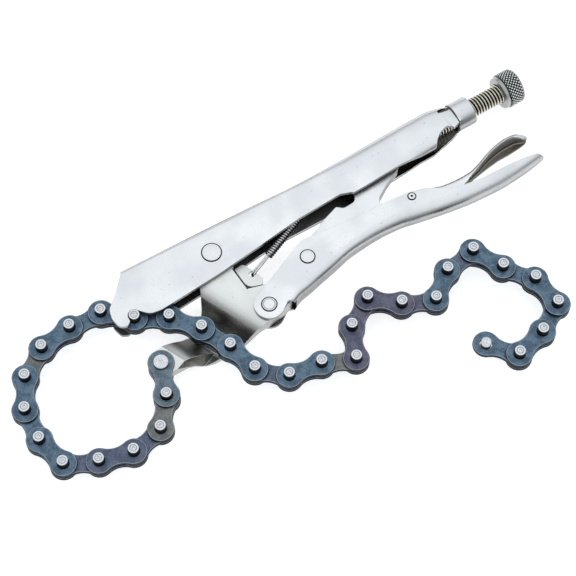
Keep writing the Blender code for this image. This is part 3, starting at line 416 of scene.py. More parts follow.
# The jaw's satin has darker painted shade on its sides and in its hollows.
SATIN = NickelPlate(
    "satin_nickel", pale=(0.87, 0.88, 0.865), dull=(0.76, 0.77, 0.745), side=(0.085, 0.080, 0.062),
    hollow=(0.020, 0.019, 0.015), smooth=0.34, rough=0.46,
    folds=((0, 0), (0.015, 0.03), (0.05, 0.12), (0.13, 0.36), (0.27, 0.74), (0.42, 0.94), (0.75, 0.7), (1, 0.5)),
)  # fmt: skip
BRIGHT_RIVET = TurnedSteel("bright_rivet", bright=(0.89, 0.90, 0.91), dark=(0.66, 0.67, 0.68), speckle=0.4)
# The toggle link's rubbed flat edges are painted a dark grey instead of bright.
LINK_NICKEL = NickelPlate("link_nickel", rim=(0.20, 0.20, 0.20), smooth=0.26, rough=0.40)
# The leaf has a brown-grey painted shade on its sides and inside its trough.
LEAF_NICKEL = NickelPlate(
    "leaf_nickel", side=(0.20, 0.19, 0.17), hollow=(0.215, 0.190, 0.155),
    folds=((0, 0), (0.05, 0.02), (0.16, 0.14), (0.3, 0.42), (0.6, 0.6), (1, 0.9)),
)  # fmt: skip
KNURLED_NICKEL = GroovedMetal("knurled_nickel", 0.26)
# The zinc thread's crest and root colours are a painted highlight and painted shade.
YELLOW_ZINC = GroovedMetal(
    "yellow_zinc", 0.30, 0.0012, crest=(0.92, 0.89, 0.76), root=(0.030, 0.024, 0.014),
    bands=(0.42, 1), gain=(0.7, 0.5),
)  # fmt: skip


@dataclass
class Finishes:
    """Every finish of the clamp, made once."""

    nickel: Material = field(default_factory=NickelPlate().make)
    satin: Material = field(default_factory=SATIN.make)
    rivet: Material = field(default_factory=BRIGHT_RIVET.make)
    link: Material = field(default_factory=LINK_NICKEL.make)
    leaf: Material = field(default_factory=LEAF_NICKEL.make)
    knurled: Material = field(default_factory=KNURLED_NICKEL.make)
    steel: Material = field(default_factory=TurnedSteel().make)
    zinc: Material = field(default_factory=YELLOW_ZINC.make)
    wire: Material = field(default_factory=SpringWire().make)
    tints: dict[LinkTint, Material] = field(
        default_factory=lambda: {tint: BluedSteel(tint).make() for tint in LinkTint}
    )


def arc(centre: Point, radius: float, start: float, end: float, steps: int) -> list[Point]:
    """Points on an arc between two angles in radians."""
    angles = [start + (end - start) * step / steps for step in range(steps + 1)]
    return [(centre[0] + radius * math.cos(a), centre[1] + radius * math.sin(a)) for a in angles]


def circle(centre: Point, radius: float, steps: int = 48) -> list[Point]:
    """Points round a full circle."""
    return arc(centre, radius, 0, TURN, steps)[:-1]


def rounded(corners: Iterable[Corner], steps: int = 8) -> list[Point]:
    """An outline whose corners are eased where their sides leave room.

    Args:
        corners: Each corner's place and radius.
        steps: How many spans each eased corner has.

    Returns:
        The outline's points.
    """
    corners = list(corners)
    points: list[Point] = []
    for index, (x, y, radius) in enumerate(corners):
        here = Vector((x, y))
        before = Vector(corners[index - 1][:2]) - here
        after = Vector(corners[(index + 1) % len(corners)][:2]) - here
        half = before.angle(after) / 2
        wanted = radius / math.tan(half) if half < math.pi / 2 else 0
        reach = min(wanted, before.length / 2, after.length / 2)
        if reach * math.cos(half) < LEAST_EASE:
            points.append((x, y))
            continue
        start = here + before.normalized() * reach
        end = here + after.normalized() * reach
        for step in range(steps + 1):
            t = step / steps
            points.append(tuple(start * (1 - t) ** 2 + here * (2 * t * (1 - t)) + end * t**2))
    return points


def eased_rows(rows: Sequence[Row], spans: int) -> list[Row]:
    """Fills a table of stations with smooth steps that never overshoot it.

    Args:
        rows: Stations, sorted by their first column.
        spans: How many steps each gap is filled with.

    Returns:
        The finer table.
    """

    def slope(index: int, column: int) -> float:
        """The table's slope at a station, flat where it turns."""
        if index in (0, len(rows) - 1):
            return 0.0
        before = (rows[index][column] - rows[index - 1][column]) / (rows[index][0] - rows[index - 1][0])
        after = (rows[index + 1][column] - rows[index][column]) / (rows[index + 1][0] - rows[index][0])
        return 2 * before * after / (before + after) if before * after > 0 else 0.0

    finer: list[Row] = []
    for index, (low, high) in enumerate(zip(rows, rows[1:])):
        width = high[0] - low[0]
        for step in range(spans):
            t = step / spans
            row = [low[0] + t * width]
            for column in range(1, len(low)):
                a, b = slope(index, column) * width, slope(index + 1, column) * width
                rise = (2 * t**3 - 3 * t**2 + 1) * low[column] + (3 * t**2 - 2 * t**3) * high[column]
                rise += (t**3 - 2 * t**2 + t) * a + (t**3 - t**2) * b
                row.append(rise)
            finer.append(tuple(row))
    return finer + [rows[-1]]


def put(name: str, data: bpy.types.ID) -> Thing:
    """Makes an object of some data and links it."""
    made = bpy.data.objects.new(name, data)
    bpy.context.scene.collection.objects.link(made)
    return made


def as_object(name: str, body: bmesh.types.BMesh) -> Thing:
    """Puts a bmesh into a new, linked object."""
    bmesh.ops.recalc_face_normals(body, faces=body.faces)
    mesh = bpy.data.meshes.new(name)
    body.to_mesh(mesh)
    body.free()
    return put(name, mesh)


def prism(name: str, outline: Sequence[Point], low: float, high: float) -> Thing:
    """A flat outline given thickness along Z."""
    body = bmesh.new()
    face = body.faces.new([body.verts.new((x, y, low)) for x, y in outline])
    raised = bmesh.ops.extrude_face_region(body, geom=[face])["geom"]
    verts = [item for item in raised if isinstance(item, bmesh.types.BMVert)]
    bmesh.ops.translate(body, verts=verts, vec=(0, 0, high - low))
    return as_object(name, body)


def banded(name: str, loops: Sequence[Sequence[Corner]], light_and_wear_mark: LightAndWearMark | None = None, ring: bool = False) -> Thing:
    """A solid skinned over loops of equal count.

    Args:
        name: The object's name.
        loops: Each loop's points, or the one point that it is drawn into.
        light_and_wear_mark: Gives a face its mark of painted light and rubbing, from its band, its place in the
            band and itself.
        ring: Whether the last loop joins the first. If not, open ends are capped.

    Returns:
        The object, with any marks set on its faces.
    """
    body = bmesh.new()
    layer = body.faces.layers.float.new(EDGE) if light_and_wear_mark else None
    rings = [[body.verts.new(point) for point in loop] for loop in loops]
    count = max(map(len, rings))
    for band, (low, high) in enumerate(zip(rings, rings[1:] + (rings[:1] if ring else []))):
        for index in range(count):
            after = (index + 1) % count
            if len(low) == 1:
                corners = (low[0], high[index], high[after])
            elif len(high) == 1:
                corners = (low[index], high[0], low[after])
            else:
                corners = (low[index], high[index], high[after], low[after])
            face = body.faces.new(corners)
            if light_and_wear_mark:
                face[layer] = light_and_wear_mark(band, index, face)
    for end in () if ring else (rings[0], rings[-1]):
        if len(end) > 1:
            body.faces.new(end)
    return as_object(name, body)


def lathed(name: str, profile: Sequence[Row], steps: int = 48) -> Thing:
    """A solid turned about Z.

    Args:
        name: The object's name.
        profile: Radius, height and the mark of painted light and rubbing on the band after it, from axis to
            axis.
        steps: How many sides the round has.

    Returns:
        The object, with its marks set on its faces.
    """
    loops = []
    for radius, height, _ in profile:
        spots = circle((0, 0), radius, steps) if radius else [(0.0, 0.0)]
        loops.append([(x, y, height) for x, y in spots])
    return banded(name, loops, lambda band, *_: profile[band][2])


def two_ended(name: str, near: Sequence[Row], steps: int = 48, spot: Sequence[float] = (0, 0, 0)) -> Thing:
    """A pin or rivet whose far end mirrors the near one.

    Args:
        name: The object's name.
        near: The near half's radii, heights and marks of painted light and rubbing, from its middle to the axis.
        steps: How many sides the round has.
        spot: Where its axis stands.

    Returns:
        The object, shaded smooth.
    """
    rows = [(radius, -height, light_and_wear_mark) for radius, height, light_and_wear_mark in reversed(near)] + list(near)
    made = smooth(lathed(name, rows, steps), ROUND_SMOOTH)
    made.data.transform(Matrix.Translation(spot))
    return made


def evaluated(thing: Thing) -> bpy.types.Mesh:
    """The mesh that an object's modifiers or sweep give."""
    graph = bpy.context.evaluated_depsgraph_get()
    graph.update()
    return bpy.data.meshes.new_from_object(thing.evaluated_get(graph))


def bake(thing: Thing) -> Thing:
    """Applies an object's modifiers."""
    made = evaluated(thing)
    thing.modifiers.clear()
    thing.data = made
    return thing


def is_closed(thing: Thing) -> bool:
    """Whether every edge of an object's mesh lies between exactly two faces."""
    body = bmesh.new()
    body.from_mesh(thing.data)
    closed = all(len(edge.link_faces) == 2 for edge in body.edges)
    body.free()
    return closed


def combine(thing: Thing, tool: Thing, operation: str) -> Thing:
    """Joins, cuts or intersects an object with a tool, and removes the tool."""
    step = thing.modifiers.new(operation.lower(), "BOOLEAN")
    step.operation = operation
    step.solver = "EXACT"
    step.object = tool
    bake(thing)
    bpy.data.objects.remove(tool)
    return thing


def cut(thing: Thing, outline: Sequence[Point], low: float, high: float) -> Thing:
    """Cuts a flat outline out of an object, between two heights."""
    return combine(thing, prism("cutter", outline, low, high), "DIFFERENCE")


def bore(thing: Thing, spot: Point, radius: float, low: float = -THROUGH, high: float = THROUGH) -> Thing:
    """Cuts a round hole along Z."""
    return cut(thing, circle(spot, radius), low, high)


def block(low: Corner, high: Corner) -> Thing:
    """A block between two corners, used as a cutter or blended into a larger piece."""
    (left, front, foot), (right, back, top) = low, high
    return prism("block", ((left, front), (right, front), (right, back), (left, back)), foot, top)


def tidy(thing: Thing) -> Thing:
    """Merges flat faces and doubled points after Booleans."""
    body = bmesh.new()
    body.from_mesh(thing.data)
    bmesh.ops.remove_doubles(body, verts=body.verts, dist=WELD)
    bmesh.ops.dissolve_limit(body, angle_limit=math.radians(FLAT_WITHIN), verts=body.verts, edges=body.edges)
    body.to_mesh(thing.data)
    body.free()
    return thing


def smooth(thing: Thing, angle: float) -> Thing:
    """Shades an object smooth, with its hard edges kept."""
    thing.data.shade_smooth()
    thing.data.set_sharp_from_angle(angle=math.radians(angle))
    return thing


def dress(thing: Thing, finish: Material) -> Thing:
    """Gives a piece its one finish."""
    thing.data.materials.clear()
    thing.data.materials.append(finish)
    return thing


def ease_edges(thing: Thing, width: float, segments: int = 2, facing: float = 0.5, slope: float = 0.0) -> Thing:
    """Rounds hard edges a little, as pressed and tumbled sheet has them, and marks the flat-lying ones rubbed,
    with a painted highlight.

    Args:
        thing: The object.
        width: How wide the eased edge is.
        segments: How many spans it has.
        facing: How nearly an eased face must lie flat to be marked rubbed, with a painted highlight.
        slope: The mark on the rest of the edge; below 0 it is painted shade.

    Returns:
        The same object.
    """
    thing.data.materials.clear()
    thing.data.materials.append(None)
    thing.data.materials.append(None)
    step = thing.modifiers.new("eased_edges", "BEVEL")
    step.width = width
    step.segments = segments
    step.limit_method = "ANGLE"
    step.angle_limit = math.radians(EDGE_BEND)
    step.use_clamp_overlap = False
    step.material = 1
    bake(thing)
    # Flat-lying eased faces get a painted highlight on rubbed edges; the others get the slope's mark, painted
    # shade where it is below 0.
    painted_light_and_wear = []
    for face in thing.data.polygons:
        flat = abs(face.normal.z) > facing
        painted_light_and_wear.append(face.material_index * (1.0 if flat else slope))
        face.material_index = 0
    thing.data.attributes.new(EDGE, "FLOAT", "FACE").data.foreach_set("value", painted_light_and_wear)
    thing.data.materials.clear()
    return smooth(thing, EDGE_SMOOTH)


def mark_where(thing: Thing, inside: Callable[[Vector, Vector], bool], level: float = -1.0) -> Thing:
    """Gives the faces whose middle and normal pass a test a level of the mark that carries painted light and
    rubbing.
    """
    layer = thing.data.attributes[EDGE].data
    for face in thing.data.polygons:
        if inside(face.center, face.normal):
            layer[face.index].value = level
    return thing


def shade_hollows(thing: Thing, seats: Sequence["Rivet"] = (), inside: float = 0.85) -> Thing:
    """Marks the insides of folds and the walls of rivet seats for painted shade.

    Args:
        thing: The object, in the clamp's frame.
        seats: The rivets whose seats were cut into it.
        inside: How dark the painted shade inside a fold is.

    Returns:
        The same object.
    """
    # Painted shade on faces that look towards the sheet's middle, inside the folds.
    mark_where(thing, lambda spot, normal: spot.z * normal.z < 0 and abs(normal.z) > 0.3, -inside)
    for seat in seats:
        mark_where(thing, seat.in_seat_shade)
    return thing


def join(name: str, things: Sequence[Thing]) -> Thing:
    """Makes one object of several, with each one's finish kept."""
    first = things[0]
    with bpy.context.temp_override(active_object=first, object=first, selected_editable_objects=list(things)):
        bpy.ops.object.join()
    first.name = name
    return first


@dataclass
class Bench:
    """Where the pieces are put together: their own frame has the main pivot at its origin."""

    finishes: Finishes = field(default_factory=Finishes)
    origin: Corner = (-27.81 * MM, 53.87 * MM, 9.2 * MM)
    count: int = 0

    def seat(self, piece: Thing, body: str, nodes: Sequence[str], slot: str, finish: Material | None) -> Thing:
        """Moves a piece from the clamp's frame to the row's, and hands it to its body.

        Args:
            piece: The piece, in the clamp's frame.
            body: The body it rides on.
            nodes: The nodes it stands for.
            slot: The name of a material slot; it is not used.
            finish: Its finish, or None where its faces have theirs.

        Returns:
            The same piece.
        """
        piece.data.transform(Matrix.Translation(self.origin))
        if finish is not None:
            dress(piece, finish)
        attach(piece, body)
        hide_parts(*nodes)
        self.count += 1
        LOG.info("%s rides on %s: %d faces", piece.name, body, len(piece.data.polygons))
        return piece


@dataclass
class FoldedSheet:
    """A channel of pressed sheet: a fold, two walls and an open mouth, trimmed to its side outline."""

    wall: float
    fold_steps: int = 9
    curl_steps: int = 8
    reach: float = 14 * MM
    least_radius: float = 0.3 * MM
    tries: int = 12

    def corner(self, half: float, spine: float, radius: float, side: int) -> list[Point]:
        """The quarter fold between a wall and the spine, as heights and places across."""
        turns = [math.pi / 2 * step / self.fold_steps for step in range(self.fold_steps + 1)]
        return [(half - radius * (1 - math.cos(a)), spine - side * radius * (1 - math.sin(a))) for a in turns]

    def curled(self, half: float, mouth: float, mouth_half: float, curl: float) -> list[Point]:
        """A wall's face below the fold, leaning in towards its mouth."""
        points = []
        for step in range(self.curl_steps + 1):
            t = step / self.curl_steps
            across = mouth_half * (1 - t) ** 2 + half * (1 - (1 - t) ** 2)
            points.append((across, mouth + curl * (t**2 + t * (1 - t) / 2)))
        return points

    def section(
        self, x: float, spine: float, half: float, radius: float, mouth: float, mouth_half: float, curl: float
    ) -> list[Corner]:
        """One closed U-shaped loop.

        Args:
            x: Its place along the channel.
            spine: The fold's outer face.
            half: Half the outer width.
            radius: The fold's outer radius.
            mouth: Where the walls end.
            mouth_half: Half the outer width at the mouth.
            curl: How high the walls' curl reaches.

        Returns:
            The loop's points.
        """
        side = 1 if spine > mouth else -1
        radius = min(radius, half)
        inner = max(radius - self.wall, self.least_radius)
        outer = self.curled(half, mouth, mouth_half, curl) + self.corner(half, spine, radius, side)
        inside = self.curled(half - self.wall, mouth, mouth_half - self.wall, curl)
        inside += self.corner(half - self.wall, spine - side * self.wall, inner, side)
        loop = [(x, y, z) for z, y in outer] + [(x, y, -z) for z, y in reversed(outer)]
        return loop + [(x, y, -z) for z, y in inside] + [(x, y, z) for z, y in reversed(inside)]

    def trimmed(self, name: str, sections: Sequence[Sequence[Corner]], outline: Sequence[Point]) -> Thing:
        """Skins the sections and keeps what lies inside the side outline.

        The exact solver now and then leaves a sheet open, so such a one is made again.
        """
        for _ in range(self.tries):
            shell = banded(name, sections)
            combine(shell, prism("side_outline", outline, -self.reach, self.reach), "INTERSECT")
            if is_closed(shell):
                return shell
            LOG.warning("%s came out open and is made again", name)
            bpy.data.objects.remove(shell)
        raise RuntimeError(f"{name} stays open after {self.tries} tries")


@dataclass(frozen=True)
class Rivet:
    """A flat-headed rivet that shows at both outer faces of the sheet it joins."""

    name: str
    body: str
    spot: Point
    radius: float
    face: float = 6 * MM
    head: float = 0.8 * MM
    proud: float = 0.3 * MM
    ease: float = 0.22 * MM
    clearance: float = 0.45 * MM
    margin: float = 4 * MM
    shank_share: float = 0.62
    groove_share: float = 0.0
    groove_half: float = 0.16 * MM
    groove_depth: float = 0.14 * MM
    dimple: float = 0.0

    @property
    def shank(self) -> float:
        """The shank's radius."""
        return self.radius * self.shank_share

    def cut_seats(self, thing: Thing) -> None:
        """Cuts the shank's hole and both heads' seats."""
        far = self.face + self.margin
        seat = self.face + self.proud - self.head - self.clearance
        bore(thing, self.spot, self.shank + self.clearance, -far, far)
        bore(thing, self.spot, self.radius + self.clearance, seat, far)
        bore(thing, self.spot, self.radius + self.clearance, -far, -seat)

    def in_seat_shade(self, spot: Vector, normal: Vector) -> bool:
        """Whether a face is a wall of one of the seats, which gets painted shade."""
        near = math.dist(spot.xy, self.spot) < self.radius + 1.5 * self.clearance
        return near and (abs(normal.z) < 0.9 or abs(spot.z) < self.face - 0.2 * MM)

    def half_profile(self) -> list[Row]:
        """The near half's radii, heights and marks, from the shank to the axis: painted shade under and round
        the head and in the groove and the dimple where it has them, and a painted highlight on the head's eased
        rim.
        """
        top, ease = self.face + self.proud, self.ease
        under = top - self.head
        rows = [(self.shank, under, -1.0), (self.radius, under, -1.0), (self.radius, top - ease, 0.0)]
        rows += [(self.radius - ease * 0.3, top - ease * 0.3, 1.0), (self.radius - ease, top, 0.2)]
        if self.groove_share:
            middle, width = self.radius * self.groove_share, self.groove_half
            rows += [(middle + width, top, -0.5), (middle, top - self.groove_depth, -0.5)]
            rows.append((middle - width, top, 0.3))
        if self.dimple:
            rows += [(self.dimple, top, -1.0), (self.dimple * 0.9, top - 0.6 * MM, -1.0)]
            rows.append((0.0, top - 0.7 * MM, -1.0))
        else:
            rows.append((0.0, top + 0.02 * MM, 0.0))
        return rows

    def build(self, bench: Bench) -> None:
        """Turns the rivet and hands it to its body."""
        made = two_ended(f"{self.name}_turned", self.half_profile(), spot=(*self.spot, 0))
        bench.seat(made, self.body, [self.name], "bright_rivet", bench.finishes.rivet)


MAIN_RIVET = Rivet("main_rivet", "handle", (0.0, 0.0), 4.4 * MM)
LEVER_RIVET = Rivet("lever_rivet", "lever", (9.1 * MM, -36.5 * MM), 3.3 * MM, groove_share=0.80)
LINK_RIVET = Rivet("link_rivet", "lever", (36.8 * MM, -25.0 * MM), 3.2 * MM)
RELEASE_PIN = Rivet("release_pin", "lever", (95.0 * MM, -23.8 * MM), 1.65 * MM, dimple=0.6 * MM)
LEVER_RIVETS = (LEVER_RIVET, LINK_RIVET, RELEASE_PIN)


@dataclass
class SheetPiece:
    """A piece of sheet, drawn in shares of its length and depth from its pivot."""

    length: float
    depth: float
    pivot: Point = (0, 0)
    wall: float = 1.9 * MM
    edge: float = 0.14 * MM
    curl: float = 1 * MM

    def shaped(self, corners: Iterable[Corner]) -> list[Corner]:
        """Corners in real sizes."""
        left, low = self.pivot
        return [(left + u * self.length, low + v * self.depth, r * self.depth) for u, v, r in corners]

    def traced(self, corners: Iterable[Corner]) -> list[Point]:
        """A rounded outline in real sizes."""
        return rounded(self.shaped(corners))

    def channel(self, name: str, rows: Sequence[Row], rise: float, outline: Sequence[Point]) -> Thing:
        """Folds a channel with straight walls.

        Args:
            name: The object's name.
            rows: Its stations: shares along and across, half the outer width, and the fold's radius.
            rise: How far from the pivot its mouth lies, in depths.
            outline: The side outline that trims it.

        Returns:
            The channel.
        """
        sheet = FoldedSheet(self.wall)
        mouth = self.pivot[1] + rise * self.depth
        sections = []
        for x, y, half, radius in rows:
            place = (self.pivot[0] + x * self.length, self.pivot[1] + y * self.depth, half, radius, mouth)
            sections.append(sheet.section(*place, half, self.curl))
        return sheet.trimmed(name, sections, outline)


@dataclass
class UpperHandle(SheetPiece):
    """The upper handle: a folded channel with a hooked nose, closed into a collar behind."""

    length: float = 190 * MM
    depth: float = 24 * MM
    edge: float = 0.18 * MM
    curl: float = 7.0 * MM
    half: float = 6.0 * MM
    rear_half: float = 7.0 * MM
    fold: float = 2.6 * MM
    mouth: float = -16.0 * MM
    curl_mouth: float = -8.0 * MM
    curl_in: float = 3.7 * MM
    axis_y: float = 3.8 * MM
    bore_radius: float = 5.06 * MM
    bore_start: float = 95.4 * MM
    collar_start: float = 136.2 * MM
    collar_end: float = 146.4 * MM
    collar_radius: float = 7.1 * MM
    collar_ease: float = 0.5 * MM
    collar_steps: int = 64
    notch: Point = (-46.277 * MM, -9.021 * MM)
    notch_radius: float = 2.84 * MM
    tab_x: float = 59.0 * MM
    tab_y: float = 2.2 * MM
    tab_half: float = 1.5 * MM
    tab_station: int = 4
    # How dark the painted shade inside the folds is.
    inside: float = 0.62
    outline: tuple[Corner, ...] = (
        (-0.2145, 0.7, 0), (-0.2145, 0.545, 0.03), (-0.253, 0.21, 0.25), (-0.288, -0.03, 0.22),
        (-0.2945, -0.24, 0.22), (-0.288, -0.45, 0.12), (-0.27, -0.52, 0.1), (-0.259, -0.44, 0.04),
        (-0.257, -0.33, 0.02), (-0.232, -0.31, 0.05), (-0.208, -0.51, 0.25), (-0.18, -0.552, 0.4),
        (-0.11, -0.52, 0.6), (-0.012, -0.468, 0.6), (0.106, -0.372, 0.2), (0.19, -0.337, 0.3),
        (0.284, -0.35, 0.3), (0.352, -0.345, 0.1), (0.382, -0.335, 0.1), (0.42, -0.335, 0.2), (0.52, -0.3, 0.4),
        (0.628, -0.3, 0.1), (0.66, -0.215, 0.15), (0.7, -0.14, 0.1), (0.726, -0.06, 0), (0.726, 0.7, 0),
    )  # fmt: skip
    near_reliefs: tuple[tuple[Corner, ...], ...] = (
        (
            (0.094, -0.6, 0), (0.106, -0.37, 0.2), (0.23, -0.255, 0.6), (0.352, -0.222, 0.1),
            (0.382, -0.315, 0.1), (0.394, -0.6, 0),
        ),
        (
            (0.622, -0.6, 0), (0.632, -0.3, 0.05), (0.642, -0.2, 0.15), (0.658, -0.1, 0.15),
            (0.6823, -0.04, 0.15), (0.694, -0.11, 0.1), (0.703, -0.22, 0.05), (0.706, -0.6, 0),
        ),
    )  # fmt: skip
    seam_width: float = 0.45 * MM
    seam_depth: float = 0.40 * MM
    dent: Corner = (132.9 * MM, 7.5 * MM, 5.7 * MM)
    dent_reach: Corner = (3.5 * MM, 1.35 * MM, 1.5 * MM)
    rim_from: float = 20.0 * MM
    # How bright the painted highlight on the far wall's lower rim is.
    rim_highlight: float = 1.0
    rim_tilt: float = 0.2
    dent_spread: float = 1.06
    spans: int = 5
    stations: tuple[Row, ...] = (
        (-0.3, 0.65, 0, 0, 0), (-0.215, 0.592, 0, 0, 0), (0.006, 0.536, 0, 0, 0), (0.17, 0.488, 0, 0.04, 0),
        (0.285, 0.455, 0, 0.12, 0), (0.365, 0.476, 0.25, 0.45, 0), (0.42, 0.492, 0.7, 0.8, 0.15),
        (0.5, 0.52, 1, 1, 0.35), (0.545, 0.532, 1, 1, 0.75), (0.59, 0.545, 1, 1, 1), (0.655, 0.548, 1, 1, 1),
        (0.68, 0.52, 0.95, 0.95, 0.9), (0.7, 0.475, 0.6, 0.85, 0.8), (0.716, 0.43, 0.2, 0.8, 0.7),
        (0.726, 0.43, 0.2, 0.8, 0.7),
    )  # fmt: skip

    @property
    def axis(self) -> Matrix:
        """Turns what is made along Z to lie along the screw's axis."""
        return Matrix.Translation((0, self.axis_y, 0)) @ Matrix.Rotation(math.pi / 2, 4, "Y")

    def sections(self, sheet: FoldedSheet) -> list[list[Corner]]:
        """The channel's loops, widening behind and curling in below the screw."""
        made = []
        for x, y, w, r, c in eased_rows(self.stations, self.spans):
            half = self.half + w * (self.rear_half - self.half)
            radius = self.fold + r * (self.rear_half - self.fold)
            mouth = self.mouth + c * (self.curl_mouth - self.mouth)
            place = (x * self.length, y * self.depth, half, radius, mouth)
            made.append(sheet.section(*place, half - c * self.curl_in, self.curl))
        return made

    def along_axis(self, handle: Thing, tool: Thing, operation: str = "DIFFERENCE") -> None:
        """Combines the handle with a tool that was made along Z."""
        tool.data.transform(self.axis)
        combine(handle, tool, operation)

    def collar(self) -> Thing:
        """The round collar behind the channel, with eased rims."""
        radius, ease, low, high = self.collar_radius, self.collar_ease, self.collar_start, self.collar_end
        spots = ((0.0, low), (radius - ease, low), (radius, low + ease), (radius, high - ease))
        spots += ((radius - ease, high), (0.0, high))
        return lathed("collar", [(*spot, 0.0) for spot in spots], self.collar_steps)

    def mark_collar(self, handle: Thing) -> None:
        """Cuts the seam round the collar's start and the dent before it."""
        floor, reach = self.collar_radius - self.seam_depth, self.collar_radius + MARGIN
        low, high = self.collar_start, self.collar_start + self.seam_width
        corners = ((floor, low), (reach, low), (reach, high), (floor, high))
        loops = [[(x, y, z) for x, y in circle((0, 0), r, self.collar_steps)] for r, z in corners]
        self.along_axis(handle, banded("collar_seam", loops, ring=True))
        turns = [math.pi * step / 10 for step in range(1, 10)]
        ball = [(0.0, -1.0, 0.0), *((math.sin(a), -math.cos(a), 0.0) for a in turns), (0.0, 1.0, 0.0)]
        dent = lathed("dent", ball, 24)
        dent.data.transform(Matrix.Translation(self.dent) @ Matrix.Diagonal((*self.dent_reach, 1)))
        combine(handle, dent, "DIFFERENCE")

    def in_seam_or_dent_shade(self, spot: Vector, _: Vector) -> bool:
        """Whether a face's middle lies in the collar's seam or in the dent, which get painted shade."""
        seam = self.collar_start - 0.05 * MM < spot.x < self.collar_start + self.seam_width
        seam = seam and math.hypot(spot.y - self.axis_y, spot.z) < self.collar_radius - self.seam_depth / 4
        reaches = [(value - middle) / reach for value, middle, reach in zip(spot, self.dent, self.dent_reach)]
        return seam or math.hypot(*reaches) < self.dent_spread

    def on_rim(self, spot: Vector, normal: Vector) -> bool:
        """Whether a face lies on the eased corner of the far wall's lower edge, which gets a painted highlight.
        """
        low = spot.z < 0 and max(normal.y, -normal.z) < -self.rim_tilt
        return low and self.rim_from < spot.x < self.collar_start

    def build(self, bench: Bench) -> None:
        """Folds, trims and cuts the handle."""
        sheet = FoldedSheet(self.wall)
        handle = sheet.trimmed("upper_handle_pressed", self.sections(sheet), self.traced(self.outline))
        self.along_axis(handle, self.collar(), "UNION")
        hole = circle((0, 0), self.bore_radius)
        self.along_axis(handle, prism("screw_bore", hole, self.bore_start, self.collar_end + 2 * MARGIN))
        for corners in self.near_reliefs:
            cut(handle, self.traced(corners), 0, 2 * self.half)
        self.mark_collar(handle)
        bore(handle, self.notch, self.notch_radius)
        MAIN_RIVET.cut_seats(handle)
        top = self.depth * self.stations[self.tab_station][1] - self.wall / 2
        low = (self.tab_x, self.tab_y - self.tab_half, -self.tab_half)
        combine(handle, block(low, (self.tab_x + self.wall, top, self.tab_half)), "UNION")
        # Painted shade inside the folds, in the rivet's seats, in the collar's seam and in the dent; a painted
        # highlight on the far wall's lower rim.
        shade_hollows(ease_edges(tidy(handle), self.edge), (MAIN_RIVET,), self.inside)
        mark_where(handle, self.in_seam_or_dent_shade)
        mark_where(handle, self.on_rim, self.rim_highlight)
        bench.seat(handle, "handle", ["upper_handle"], "nickel_plate", bench.finishes.nickel)


